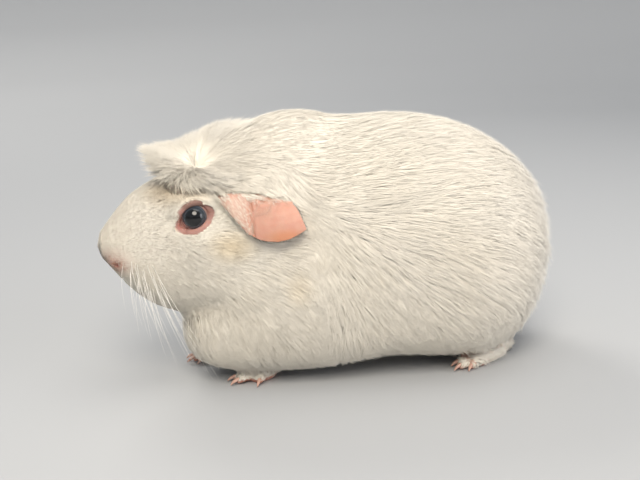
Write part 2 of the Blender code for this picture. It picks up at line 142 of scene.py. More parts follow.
class SkinSettings(bpy.types.PropertyGroup):
    """Sizes and colours of the skin."""

    step: length_setting("Surface step", 0.0005, "Mesh step of the skin on the head")
    bare: colour_setting("Bare skin", "#D0A28F", "Skin of the ears, lids and nose")
    under: colour_setting("Skin under the coat", "#EBD3C4", "Skin where hair covers it")
    feet: colour_setting("Feet", "#C08A78", "Skin of the feet")


class CoatSettings(bpy.types.PropertyGroup):
    """Sizes and colours of the coat."""

    ivory: colour_setting("Ivory", "#FBF5E9", "Main colour of the hair")
    straw: colour_setting("Straw", "#F5D9A6", "Faint stain on the cheeks")
    # Painted shadow of the crest, on the forehead below it and over the lids.
    painted_crest_shadow: colour_setting("Buff", "#E4CFAF", "Shade of the forehead below the crest")
    amount: FloatProperty(name="Amount", description="Share of the full number of hairs",
                          default=1.0, min=0.02, max=1.0)
    hair: length_setting("Hair width", 0.00037, "Width of a hair on the body")


class EyeSettings(bpy.types.PropertyGroup):
    """Colours of the eyes."""

    iris: colour_setting("Iris", "#39424B", "Colour of the iris")
    rim: colour_setting("Iris rim", "#5F6C78", "Outer ring of the iris")


class StageSettings(bpy.types.PropertyGroup):
    """Camera, floor and light."""

    azimuth: angle_setting("Azimuth", -11, "Camera turn round the model")
    height: angle_setting("Elevation", 14, "Camera angle above the floor")
    roll: angle_setting("Roll", -3, "Camera roll")
    distance: length_setting("Distance", 0.36, "Camera to the model")
    floor: colour_setting("Floor", "#B4B6B8", "Colour of the floor")


# --- Materials ------------------------------------------------------------------------------------


def add(tree, kind, settings):
    """Add a node and set its properties and sockets; a socket given as a value is linked."""
    node = tree.nodes.new(kind)
    for name, value in settings.items():
        if isinstance(name, str) and name not in node.inputs:
            setattr(node, name, value)
        elif isinstance(value, bpy.types.NodeSocket):
            tree.links.new(value, node.inputs[name])
        elif node.inputs[name].type == "RGBA":
            node.inputs[name].default_value = (*value, 1)
        else:
            node.inputs[name].default_value = value
    return node


def material(name, **sockets):
    """A material with one Principled shader: itself, its nodes and the shader."""
    made = bpy.data.materials.new(name)
    made.use_nodes = True
    tree = made.node_tree
    shader = tree.nodes["Principled BSDF"]
    for socket, value in sockets.items():
        shader.inputs[socket.replace("_", " ")].default_value = value
    return made, tree, shader


def folded_over(tree, place):
    """The place on the object, the same on both of its sides."""
    split = add(tree, "ShaderNodeSeparateXYZ", {0: place}).outputs
    across = add(tree, "ShaderNodeMath", {"operation": "ABSOLUTE", 0: split["Y"]}).outputs[0]
    return add(tree, "ShaderNodeCombineXYZ", {0: split["X"], 1: across, 2: split["Z"]}).outputs[0]


def scale_of(size):
    """A pattern's scale from its real size in millimetres."""
    return 1 / (size * MM)


def darkened(colour, *factors):
    """A colour times one factor, or three."""
    return [min(1, c * f) for c, f in zip(colour, factors if len(factors) == 3 else factors * 3)]


def nearness(tree, folded, centre, radii, inner, amount=1.0):
    """The amount inside an ellipsoid given in millimetres and 0 outside, with a soft edge."""
    centre = np.array([centre[0], abs(centre[1]), centre[2]])
    moved = add(tree, "ShaderNodeVectorMath", {"operation": "SUBTRACT", 0: folded,
                                               1: tuple(centre * MM)})
    scaled = add(tree, "ShaderNodeVectorMath", {"operation": "DIVIDE", 0: moved.outputs[0],
                                                1: tuple(np.array(radii) * MM)})
    far = add(tree, "ShaderNodeVectorMath", {"operation": "LENGTH", 0: scaled.outputs[0]})
    return add(tree, "ShaderNodeMapRange", {
        "interpolation_type": "SMOOTHSTEP", "From Min": 1.0, "From Max": inner, "To Max": amount,
        "Value": far.outputs["Value"]}).outputs[0]


def tinted(tree, folded, colour, patches):
    """A colour with patches over it: each a centre, radii, inner share, amount and colour."""
    for centre, radii, inner, amount, tint in patches:
        share = nearness(tree, folded, centre, radii, inner, amount)
        colour = add(tree, "ShaderNodeMix", {"data_type": "RGBA", 0: share, 6: colour,
                                             7: tint}).outputs[2]
    return colour


def coat_colour(tree, place, folded):
    """Ivory with faint uneven warmth and a straw cheek; painted shade on the crown, and the crest's
    painted shadow on the forehead and over the lids.
    """
    coat = bpy.context.scene.guinea_coat
    broad = add(tree, "ShaderNodeTexNoise", {"Scale": scale_of(26.3), "Detail": 2.0,
                                             "Vector": place})
    base = add(tree, "ShaderNodeMix", {"data_type": "RGBA", 0: broad.outputs[0], 6: coat.ivory,
                                       7: darkened(coat.ivory, 1.0, 0.975, 0.92)})
    return tinted(tree, folded, base.outputs[2], (
        ((-43.5, -26, 60), (13, 22, 9), 0.0, 0.62, coat.straw),
        ((-20, -35, 43), (8, 16, 10), 0.0, 0.3, coat.straw),
        # Painted shade over the crown and the top of the crest.
        ((-55, -3, 107), (27, 24, 15), 0.4, 0.95, darkened(coat.ivory, 0.76)),
        # Painted shadow of the crest over the lids and on the forehead below it.
        (EYE + [0, 2, 8], (12, 10, 5), 0.2, 0.6, coat.painted_crest_shadow),
        ((-67, -10, 80.5), (13, 17, 8), 0.0, 0.85, coat.painted_crest_shadow),
    ))


# --- Meshes as arrays -----------------------------------------------------------------------------


def read(data, name, width, kind=np.float64):
    """A property of a mesh collection as an array with width columns."""
    values = np.empty(len(data) * width, kind)
    data.foreach_get(name, values)
    return values.reshape(-1, width) if width > 1 else values


def places(mesh):
    """Vertex places in millimetres."""
    return read(mesh.vertices, "co", 3) / MM


def smoothed(mesh):
    """Shade every face of a mesh smooth."""
    mesh.polygons.foreach_set("use_smooth", np.ones(len(mesh.polygons), bool))
    return mesh


def evaluated(item):
    """Apply an object's modifiers to its mesh."""
    graph = bpy.context.evaluated_depsgraph_get()
    graph.update()
    mesh = bpy.data.meshes.new_from_object(item.evaluated_get(graph))
    old = item.data
    item.modifiers.clear()
    item.data = mesh
    bpy.data.meshes.remove(old)
    return mesh


def new_piece(name, data, finish=None):
    """An object in the scene with its data, and a finish if it is a mesh that has one."""
    item = bpy.data.objects.new(name, data)
    bpy.context.scene.collection.objects.link(item)
    if finish:
        data.materials.append(finish)
    return item


def settled(piece, slot, *nodes):
    """Tie a piece to the model's root, and hide the nodes that it stands for."""
    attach(piece, "root")
    if nodes:
        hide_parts(*nodes)


def diffused(values, edges, rounds):
    """Values per vertex, evened out along the edges."""
    first, second = edges.T
    count = len(values)
    share = np.bincount(first, minlength=count) + np.bincount(second, minlength=count)
    share = np.maximum(share, 1)
    for _ in range(rounds):
        total = np.bincount(first, values[second], count)
        total += np.bincount(second, values[first], count)
        values = 0.5 * values + 0.5 * total / share
    return values


def store(mesh, name, values):
    """Keep an array on the mesh's vertices."""
    kind = "FLOAT_VECTOR" if values.ndim == 2 else "INT" if values.dtype.kind == "i" else "FLOAT"
    layer = mesh.attributes.new(name, kind, "POINT")
    layer.data.foreach_set("vector" if values.ndim == 2 else "value", values.ravel())


# --- Skin -----------------------------------------------------------------------------------------

# How far each solid is grown, so that the thin gaps between them close before they are joined.
GROWN = 0.28
# Half the eye opening's length and height.
LID_LONG = 5.5
LID_TALL = 4.1
# Depth of the skin below the coat's outline: on the head by distance from the nose, on the legs by
# height.
HEAD_DEPTHS = ((0, 0.1), (8, 0.25), (16, 0.45), (26, 0.8), (38, 1.3), (55, 2.3), (75, 3.2))
LEG_DEPTHS = ((0, 0.05), (8, 0.25), (16, 1.2), (24, 3.0))
NECK_DEPTH = 3.2
CHEST_DEPTH = 3.6
TRUNK_DEPTH = 4.0
EAR_DEPTH = 0.42
EVEN_ROUNDS = 160
KEPT_FACES = 0.40


def flesh_solid(names, grow):
    """The named solids in one mesh, each grown by a little."""
    whole = bmesh.new()
    for name in names:
        part = bmesh.new()
        part.from_mesh(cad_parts[name].data)
        bmesh.ops.remove_doubles(part, verts=part.verts, dist=1e-6)
        part.normal_update()
        for vertex in part.verts:
            vertex.co += vertex.normal * grow * MM
        mesh = bpy.data.meshes.new("part")
        part.to_mesh(mesh)
        part.free()
        whole.from_mesh(mesh)
        bpy.data.meshes.remove(mesh)
    mesh = bpy.data.meshes.new("skin")
    whole.to_mesh(mesh)
    whole.free()
    return mesh


def owners(points, names):
    """For each point, the number of the named solid that is nearest."""
    corners, faces, owner = [], [], []
    for number, name in enumerate(names):
        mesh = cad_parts[name].data
        base = len(corners)
        corners += [vertex.co / MM for vertex in mesh.vertices]
        faces += [[base + i for i in polygon.vertices] for polygon in mesh.polygons]
        owner += [number] * len(mesh.polygons)
    tree = BVHTree.FromPolygons(corners, faces)
    return np.array(owner)[[tree.find_nearest(point)[2] for point in points]]


def eye_side(points):
    """1 on the side of the eye that stands for both, and -1 on the other."""
    return np.where(points[:, 1] < 0, 1.0, -1.0)


def eye_frame(points):
    """Places seen from the eye of the same side: along the lids, across them, and outward."""
    local = points.copy()
    local[:, 1] *= eye_side(points)
    local = local - EYE
    return local @ EYE_ALONG, local @ EYE_ACROSS, local @ EYE_AXIS


def lid_ratio(u, v):
    """1 on the lid's edge, less inside the opening. The front corner is drawn out."""
    reach = 1 + 0.20 * hump(np.arctan2(v, u), 0, 0.38)
    return np.hypot(u / LID_LONG, v / LID_TALL) / reach


def shape_lids(points):
    """Sink the skin behind the eyeball inside the opening, and raise a rounded rim round it."""
    u, v, w = eye_frame(points)
    ratio = lid_ratio(u, v)
    radius = np.hypot(u, v)
    ball = np.sqrt(np.maximum(EYE_RADIUS ** 2 - radius ** 2, 0.2))
    edge_radius = np.minimum(radius / np.maximum(ratio, 0.2), EYE_RADIUS - 0.15)
    edge = np.sqrt(np.maximum(EYE_RADIUS ** 2 - edge_radius ** 2, 0.3))
    rim = edge + 0.10 + 0.55 * np.sin(np.clip((ratio - 1) / 0.34, 0, 1) * math.pi * 0.62)
    crease = 0.22 * hump(ratio, 1.62, 0.10)
    outside = rim + (w - rim) * smooth(1.2, 2.3, ratio) - crease
    inside = ball - 0.9
    wall = smooth(0.97, 1.03, ratio)
    target = np.where(ratio < 1.1, inside + (outside - inside) * wall, outside)
    near = (w > -2) & (ratio < 2.6)
    shift = np.outer(np.where(near, target - w, 0) * (1 - smooth(2.2, 2.6, ratio)), EYE_AXIS)
    shift[:, 1] *= eye_side(points)
    return points + shift


def shape_nose(points, normals):
    """Nostril slits, the cleft below them and the mouth line, pressed into the muzzle."""
    x, y, z = points[:, 0], np.abs(points[:, 1]), points[:, 2]
    slit_z = 52.9 + 0.9 * np.sin((y - 7.5) * 0.5)
    slit = hump(z, slit_z, 0.75) * hump(y, 8.8, 1.5) * (x < -83)
    wing = hump(z - slit_z, 2.0, 1.2) * hump(y, 9.0, 3.0) * (x < -82)
    cleft = hump(y, 0, 0.55) * smooth(52, 49, z) * (x < -80) * smooth(38, 42, z)
    lip = hump(z, mouth_height(y), 0.7) * smooth(13, 9, y) * smooth(-74, -78, x)
    deep = 1.9 * slit + 0.7 * cleft + 0.4 * lip - 0.4 * wing
    return points - normals * deep[:, None]


def mouth_height(across):
    """Height of the mouth line by the distance from the middle of the muzzle."""
    return 45.5 + 0.28 * (across - 2)


def shape_ears(points, normals, ear):
    """The ear's front flap, folded over the hollow behind it, with creases up from the hollow."""
    x, y, z = points.T
    outward = smooth(0.1, 0.5, normals[:, 1] * np.sign(y)) * ear
    flap = smooth(-36.4, -37.4, x) * smooth(-47, -42, x)
    groove = hump(x, -35.9, 0.55) * smooth(81, 77, z)
    hollow = hump(x, -31.5, 4.2) * hump(z, 73.5, 5.0)
    turn = np.arctan2(x + 33, z - 66)
    creases = np.cos(turn * 26) * hump(z, 77, 2.6) * smooth(-36, -34, x)
    push = 0.55 * flap - 0.9 * groove - 0.9 * hollow + 0.2 * creases
    return points + normals * (outward * push)[:, None]


def skin_depth(points, normals, owner):
    """How far the skin lies below the outline of the coat."""
    belly = smooth(-0.3, -0.8, normals[:, 2])
    leg = from_table(points[:, 2], LEG_DEPTHS)
    by_name = {
        "head": from_table(np.linalg.norm(points - NOSE, axis=1), HEAD_DEPTHS),
        "neck": NECK_DEPTH,
        "chest": CHEST_DEPTH - 1.3 * belly,
        "trunk": TRUNK_DEPTH + 1.4 * smooth(50, 85, points[:, 0]) - 1.8 * belly,
        **{name: leg for name in LEGS},
    }
    depth = np.full(len(points), EAR_DEPTH)
    for name, value in by_name.items():
        depth = np.where(owner == SOLIDS.index(name), value, depth)
    return depth


def evening(points):
    """How much the joined solids are evened: most on the body, least on ears and feet."""
    x, y, z = points.T
    broad = smooth(-42, 0, x) * smooth(6, 18, z)
    broad = np.maximum(broad, smooth(-52, -30, x) * smooth(60, 45, z) * smooth(6, 18, z))
    low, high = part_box("ear_left")
    near_ear = ((np.abs(y) > -high[1] / MM - 1.5)
                & (x > low[0] / MM - 2) & (x < high[0] / MM + 3)
                & (z > low[2] / MM - 2) & (z < high[2] / MM + 3))
    face = 0.35 * smooth(-97, -70, x)
    weight = np.where(near_ear | (z < 9), 0.04, np.maximum(broad, face))
    u, v, w = eye_frame(points)
    return np.where((np.hypot(u, v) < 9) & (w > -3), 0.15, weight)


def joined_flesh():
    """All the flesh as one closed and evened surface."""
    item = new_piece("skin", flesh_solid(SOLIDS, GROWN))
    remesh = item.modifiers.new("remesh", "REMESH")
    remesh.mode = "VOXEL"
    remesh.voxel_size = bpy.context.scene.guinea_skin.step
    levels = np.round(evening(places(evaluated(item))) * 20).astype(int)
    group = item.vertex_groups.new(name="soft")
    for level in range(1, 21):
        group.add(np.nonzero(levels == level)[0].tolist(), level / 20, "REPLACE")
    even = item.modifiers.new("even", "SMOOTH")
    even.factor = 0.5
    even.iterations = EVEN_ROUNDS
    even.vertex_group = "soft"
    thin = item.modifiers.new("thin", "DECIMATE")
    thin.ratio = KEPT_FACES
    thin.vertex_group = "soft"
    thin.use_collapse_triangulate = True
    mesh = evaluated(item)
    item.vertex_groups.clear()
    refine(mesh)
    mesh.validate()
    return item


def refine(mesh):
    """Split the triangles round the eyes and the nostrils."""
    points = places(mesh)
    u, v, w = eye_frame(points)
    chosen = (np.hypot(u, v) < 9.5) & (w > -2.5)
    chosen |= np.linalg.norm(points - [NOSE[0] + 3, 0, 53], axis=1) < 10
    whole = bmesh.new()
    whole.from_mesh(mesh)
    edges = [edge for edge in whole.edges if all(chosen[vertex.index] for vertex in edge.verts)]
    bmesh.ops.subdivide_edges(whole, edges=edges, cuts=1, use_grid_fill=True)
    bmesh.ops.triangulate(whole, faces=whole.faces)
    whole.to_mesh(mesh)
    whole.free()


def build_skin():
    """One closed skin from all the flesh, let in by the coat's depth, with lids and nostrils."""
    item = joined_flesh()
    mesh = item.data
    points = places(mesh)
    normals = read(mesh.vertices, "normal", 3)
    owner = owners(points, SOLIDS)
    outer = points + normals * 0.2
    edges = read(mesh.edges, "vertices", 2, np.int32)
    depth = diffused(skin_depth(points, normals, owner), edges, 110)
    u, v, w = eye_frame(points)
    round_eye = np.hypot(u, v)
    depth = np.where(w > -4, depth * (0.12 + 0.88 * smooth(6.5, 13, round_eye)), depth)
    inner = points - normals * depth[:, None]
    for axis in range(3):
        moved = diffused(inner[:, axis], edges, 12)
        inner[:, axis] += (moved - inner[:, axis]) * smooth(1.5, 4.0, depth)
    inner = shape_nose(shape_lids(inner), normals)
    ears = np.isin(owner, [SOLIDS.index(name) for name in EARS])
    ears = diffused(ears.astype(float), edges, 3)
    inner = shape_ears(inner, normals, ears)
    inner[:, 2] = np.maximum(inner[:, 2], 0)
    mesh.vertices.foreach_set("co", (inner * MM).ravel())
    mesh.update()
    # The outline stays clear of the skin, and a little more so round the lids, where hair shows.
    gap = ((outer - inner) * normals).sum(1)
    room = 0.15 + 0.5 * smooth(1.1, 1.7, lid_ratio(u, v)) * smooth(13, 9, round_eye) * (w > -5)
    store(mesh, "outer", outer + normals * np.maximum(room - gap, 0)[:, None])
    store(mesh, "owner", owner)
    store(mesh, "ear", ears)
    smoothed(mesh)
    return item


def unwrap(item):
    """A flat layout of the skin's own shape, kept as the map that the coat shares."""
    mesh = item.data
    while mesh.uv_layers:
        mesh.uv_layers.remove(mesh.uv_layers[0])
    mesh.uv_layers.new(name="OFBake")
    bpy.context.view_layer.objects.active = item
    item.select_set(True)
    bpy.ops.object.mode_set(mode="EDIT")
    bpy.ops.mesh.select_all(action="SELECT")
    bpy.ops.uv.smart_project(angle_limit=math.radians(70), island_margin=0.002)
    bpy.ops.object.mode_set(mode="OBJECT")
    item.select_set(False)


def skin_material():
    """Living skin: pink and bare on ears, lids, nose and feet, paler and softly lit elsewhere."""
    skin = bpy.context.scene.guinea_skin
    made, tree, shader = material("Skin", Roughness=0.5, IOR=1.4, Subsurface_Weight=0.25,
                                  Subsurface_Radius=(1.0, 0.4, 0.25), Subsurface_Scale=0.0012,
                                  Specular_IOR_Level=0.35)
    place = add(tree, "ShaderNodeTexCoord", {}).outputs["Object"]
    folded = folded_over(tree, place)
    # Under the coat the skin mostly takes the coat's colour, its painted shade and shadow included.
    under = add(tree, "ShaderNodeMix", {"data_type": "RGBA", 0: 0.8, 6: skin.under,
                                        7: coat_colour(tree, place, folded)})
    # Fine veins, 4 mm apart, redden the bare skin unevenly.
    veins = add(tree, "ShaderNodeTexNoise", {"Scale": scale_of(3.85), "Detail": 5.0,
                                             "Roughness": 0.6, "Vector": place})
    bare = add(tree, "ShaderNodeMix", {"data_type": "RGBA", 0: veins.outputs[0],
                                       6: darkened(skin.bare, 1.04, 1.10, 1.10),
                                       7: darkened(skin.bare, 0.94, 0.76, 0.74)}).outputs[2]
    # The ear's lower margin is browner, and its front flap paler.
    flap = tinted(tree, folded, bare, (
        ((-25, -36.5, 64), (12, 7, 4.2), 0.2, 0.6, linear("#CF8A5E")),
        ((-44, -30, 74), (8, 12, 10), 0.5, 0.5, linear("#EBCBB8")),
    ))
    ear = add(tree, "ShaderNodeAttribute", {"attribute_name": "ear"}).outputs["Fac"]
    colour = add(tree, "ShaderNodeMix", {"data_type": "RGBA", 0: ear, 6: under.outputs[2], 7: flap})
    # Nose and lids, painted shade of the brow on the upper lid, and the lids' front corner and
    # painted shade in their rear corner.
    colour = tinted(tree, folded, colour.outputs[2], (
        ((-87, -7, 54), (10, 11, 8), 0.2, 0.85, bare),
        (LIDS + [0.3, 0, -0.5], (9.8, 8.0, 7.8), 0.85, 1.0, linear("#BA8D83")),
        # Painted shade cast by the brow on the upper lid.
        (LIDS + [0, 0, 5.0], (7.5, 8, 2.8), 0.4, 0.9, linear("#80655B")),
        # Painted shade in the lids' rear corner.
        (LIDS + [6.2, 0, 1.0], (3.0, 6, 4.2), 0.2, 0.6, linear("#8F6E66")),
        (LIDS + [-5.4, 0, -3.4], (2.4, 4, 2.0), 0.2, 0.7, linear("#A8514C")),
    ))
    low = nearness(tree, folded, (0, 0, -20), (200, 100, 32), 0.75)
    heel = nearness(tree, folded, (66, -24, 8), (15, 15, 14), 0.6)
    foot = add(tree, "ShaderNodeMath", {"operation": "SUBTRACT", "use_clamp": True, 0: low,
                                        1: heel})
    colour = add(tree, "ShaderNodeMix", {"data_type": "RGBA", 0: foot.outputs[0], 6: colour,
                                         7: skin.feet})
    # Inside of the nostrils and the mouth line, darker: partly their own colour, partly painted shade
    # in the slits and the crease.
    colour = tinted(tree, folded, colour.outputs[2], (
        ((-87.8, -8.9, 52.9), (4.0, 2.0, 1.1), 0.3, 0.9, linear("#8E524B")),
        ((-83, 0, 46.2), (9, 9, 1.3), 0.4, 0.6, linear("#B97F74")),
    ))
    tree.links.new(colour, shader.inputs["Base Color"])
    # Pores, 0.6 mm apart.
    grain = add(tree, "ShaderNodeTexNoise", {"Scale": scale_of(0.625), "Detail": 4.0,
                                             "Vector": place})
    bump = add(tree, "ShaderNodeBump", {"Strength": 0.25, "Distance": 0.0003,
                                        "Height": grain.outputs[0]})
    tree.links.new(bump.outputs[0], shader.inputs["Normal"])
    return made


# --- Lie and length of the hair -------------------------------------------------------------------

# Angle of the hair below level on the cheek and chest, in degrees by height.
SWEEP_ANGLES = ((4, -80), (15, -66), (30, -47), (45, -30), (58, -13), (72, -4))
# Length of the hair by distance from the nose; and by height on the limbs, with more on the heels.
BODY_LENGTHS = ((0, 0.9), (6, 1.5), (14, 2.5), (24, 4.2), (38, 7), (55, 11), (80, 14), (100, 16.5))
LIMB_LENGTHS = ((0, 1.2), (5, 2.2), (10, 4.0), (16, 7.0))
HEEL_LENGTHS = ((0, 0.5), (3, 4.0), (8, 7.5), (16, 6.0))


def lie_of_hair(points, normals, foot, ear):
    """Direction along the skin in which the hair lies at each point."""
    x, y, z = points.T
    ones, zero, side = np.ones_like(x), np.zeros_like(x), np.sign(y)
    # From behind each ear the hair fans out: level along the back, steep low on the shoulder.
    drop = np.minimum(z - FAN[2], 0)
    fan = unit(np.stack([np.maximum(x - FAN[0], 0.5) + 2, zero, drop * 1.05 - 1.5], 1))
    fan[:, 2] -= 0.55 * smooth(45, 92, x) + 1.3 * smooth(30, 12, z) * smooth(20, 50, x)
    # On the cheek and chest it sweeps back, steeper the lower it grows.
    angle = np.radians(from_table(z, SWEEP_ANGLES))
    sweep = np.stack([np.cos(angle), zero, np.sin(angle)], 1)
    # On the muzzle it runs back from the nose.
    muzzle = unit(points - [NOSE[0] - 8, 0, 54.5])
    muzzle[:, 2] -= 0.55 * smooth(58, 44, z)
    share = smooth(-84, -60, x)[:, None]
    front = unit(muzzle * (1 - share) + sweep * share)
    # Below the eye it parts, and behind the crest it comes from the whorl.
    u, v, _ = eye_frame(points)
    eye = np.stack([x - EYE[0], side * (np.abs(y) + EYE[1]), z - EYE[2]], 1)
    eye_share = 0.7 * hump(np.hypot(u, v), 0, 9.5) * smooth(4, -1, v)
    front = unit(front + unit(eye) * eye_share[:, None])
    behind = smooth(-17, -11, x)[:, None]
    flow = unit(front * (1 - behind) + fan * behind)
    crown = unit(points - WHORL * [1, 0, 1] + [0, 0, 3])
    crown_share = (smooth(72, 84, z) * smooth(4, -22, x) * smooth(-74, -62, x))[:, None]
    flow = unit(flow * (1 - crown_share) + crown * crown_share)
    # It bends down round the back of the ear.
    flow[:, 2] -= 1.5 * hump(x, -20, 8) * hump(z, 79, 7)
    # It runs down the legs, ahead over the toes, and back from the heels.
    toe = smooth(11, 6, z)[:, None]
    leg = np.stack([0.15 * ones, zero, -ones], 1) * (1 - toe)
    leg += np.stack([-ones, zero, -0.25 * ones], 1) * toe
    heel = (smooth(46, 51, x) * smooth(1.5, 3.5, z))[:, None]
    leg = leg * (1 - heel) + np.stack([0.85 * ones, 0.2 * side, -0.5 * ones], 1) * heel
    flow = np.where(foot[:, None], leg, flow)
    flap = np.stack([0.55 * ones, 0.45 * side, -0.75 * ones], 1)
    flow = np.where(ear[:, None], flap, flow)
    # Slow waves turn neighbouring locks a little out of line.
    turn = np.radians(4) * (np.sin(x * 0.21 + z * 0.13 + y * 0.1) + np.sin(z * 0.37 - x * 0.11 + 2))
    turn = np.where(foot | ear, 0, turn * smooth(8, 40, np.linalg.norm(points - NOSE, axis=1)))
    flow = unit(flow - normals * np.sum(flow * normals, axis=1, keepdims=True))
    return turned_by(flow, normals, turn)


def turned_by(flow, normals, turn):
    """Directions turned about the normals."""
    across = np.cross(normals, flow)
    return unit(flow * np.cos(turn)[:, None] + across * np.sin(turn)[:, None])


def hair_length(points, normals, foot, ear):
    """Length of the hair at each point."""
    x, y, z = points.T
    length = from_table(np.linalg.norm(points - NOSE, axis=1), BODY_LENGTHS)
    length *= 1 - 0.35 * smooth(-0.3, -0.9, normals[:, 2])
    u, v, w = eye_frame(points)
    length *= 0.25 + 0.75 * np.where(w > -4, smooth(6.0, 14, np.hypot(u, v)), 1)
    limb = from_table(z, LIMB_LENGTHS) + smooth(46, 52, x) * from_table(z, HEEL_LENGTHS)
    length = np.where(foot, limb, length)
    return np.where(ear, 1.6 + 0.8 * smooth(-37, -40, x) + 2.4 * smooth(78.5, 80.5, z), length)


def freedom(points, normals):
    """How far the tips leave the body's outline: most at the rump and along the lower edge."""
    x, y, z = points.T
    rump = 0.4 * smooth(66, 92, x) * smooth(4, 20, z)
    hem = 0.72 * smooth(30, 14, z) * smooth(-0.85, -0.35, normals[:, 2]) * smooth(-66, -50, x)
    heel = 0.6 * smooth(46, 52, x) * smooth(2, 5, z) * smooth(24, 16, z)
    return np.maximum(np.maximum(rump, hem), heel)


# --- Hairs as mesh --------------------------------------------------------------------------------

# A hair's thickness against its width, and how far along it is widest.
FLATNESS = 0.16
WIDEST = 0.34
# Size of a hair's patch on the flat layout.
PATCH = 0.003
# Corners of each face of a hair: the root is 0, the ring round its widest place 1 to 3, the tip 4.
FACES = ((0, 1, 2), (0, 2, 3), (0, 3, 1), (2, 1, 4), (3, 2, 4), (1, 3, 4))


def hairs_mesh(name, paths, ups, widths, patches):
    """A mesh of closed three-sided hairs, each from a pointed root through its widest place.

    paths has the root, widest place and tip of each hair, ups the normals that shade it, widths its
    full width, and patches the place of its root on the skin's flat layout.
    """
    count = len(paths)
    along = unit(paths[:, 2] - paths[:, 0])
    up, ring = ups[:, 1], paths[:, 1]
    side = unit(np.cross(along, up))
    lift = unit(np.cross(side, along))
    half = widths[:, None] / 2
    points = np.stack([paths[:, 0], ring - side * half, ring + side * half,
                       ring + lift * half * 2 * FLATNESS, paths[:, 2]], 1)
    shades = np.stack([ups[:, 0], unit(up - side * 0.4), unit(up + side * 0.4), up, ups[:, 2]], 1)
    index = (np.array(FACES).ravel()[None, :] + (np.arange(count) * 5)[:, None]).ravel()
    mesh = bpy.data.meshes.new(name)
    mesh.vertices.add(count * 5)
    mesh.vertices.foreach_set("co", (points * MM).ravel().astype(np.float32))
    mesh.loops.add(len(index))
    mesh.loops.foreach_set("vertex_index", index.astype(np.int32))
    faces = count * len(FACES)
    mesh.polygons.add(faces)
    mesh.polygons.foreach_set("loop_start", (np.arange(faces) * 3).astype(np.int32))
    smoothed(mesh).update(calc_edges=True)
    layer = mesh.uv_layers.new(name="OFBake")
    edge = PATCH / 2
    flat = np.clip(patches, edge, 1 - edge)[:, None, :] + flat_hair()[None]
    layer.data.foreach_set("uv", flat.ravel().astype(np.float32))
    mesh.normals_split_custom_set_from_vertices(shades.reshape(-1, 3).astype(np.float32))
    return mesh


def flat_hair():
    """Flat places of the corners of one hair's faces, in two rows of three on its patch."""
    flat = []
    for number in range(len(FACES)):
        left = PATCH * (number % 3 / 3 - 0.5)
        right = left + PATCH / 3
        low = PATCH * (-0.45 if number < 3 else 0.0)
        flat += [(left, low), (right, low), ((left + right) / 2, low + PATCH * 0.45)]
    return np.array(flat)


class Ground:
    """The skin as the coat needs it: its triangles, outline above them, owners and flat layout."""

    def __init__(self, item):
        mesh = item.data
        self.inner = places(mesh)
        self.outer = read(mesh.attributes["outer"].data, "vector", 3)
        owner = read(mesh.attributes["owner"].data, "value", 1, np.int32)
        self.faces = read(mesh.loops, "vertex_index", 1, np.int32).reshape(-1, 3)
        self.flat = read(mesh.uv_layers["OFBake"].data, "uv", 2).reshape(-1, 3, 2)
        faces = self.faces.tolist()
        self.below = BVHTree.FromPolygons(self.inner.tolist(), faces)
        self.above = BVHTree.FromPolygons(self.outer.tolist(), faces)
        corners = self.outer[self.faces]
        cross = np.cross(corners[:, 1] - corners[:, 0], corners[:, 2] - corners[:, 0])
        self.area = np.linalg.norm(cross, axis=1) / 2
        self.middle = corners.mean(axis=1)
        normals = np.zeros_like(self.outer)
        for corner in range(3):
            for axis in range(3):
                normals[:, axis] += np.bincount(self.faces[:, corner], cross[:, axis], len(normals))
        self.face_normal = unit(unit(normals)[self.faces].mean(axis=1))
        self.face_owner = owner[self.faces[:, 0]]

    def owned_by(self, names):
        """The faces that come from the named solids."""
        return np.isin(self.face_owner, [SOLIDS.index(name) for name in names])

    def settle(self, points):
        """Nearest places on the outline, with their normals and faces."""
        found = [self.above.find_nearest(point) for point in points]
        face = np.array([hit[2] for hit in found])
        return np.array([hit[0] for hit in found]), self.face_normal[face], face

    def root(self, points):
        """Nearest places on the skin, and their places on its flat layout."""
        found = [self.below.find_nearest(point) for point in points]
        place = np.array([hit[0] for hit in found])
        face = np.array([hit[2] for hit in found])
        a, b, c = np.moveaxis(self.inner[self.faces[face]], 1, 0)
        ab, ac, ap = b - a, c - a, place - a
        d00, d01, d11 = (ab * ab).sum(1), (ab * ac).sum(1), (ac * ac).sum(1)
        d20, d21 = (ap * ab).sum(1), (ap * ac).sum(1)
        bottom = np.maximum(d00 * d11 - d01 * d01, 1e-12)
        second = np.clip((d11 * d20 - d01 * d21) / bottom, 0, 1)
        third = np.clip((d00 * d21 - d01 * d20) / bottom, 0, 1)
        weight = np.stack([np.clip(1 - second - third, 0, 1), second, third], 1)
        return place, (self.flat[face] * weight[..., None]).sum(1)


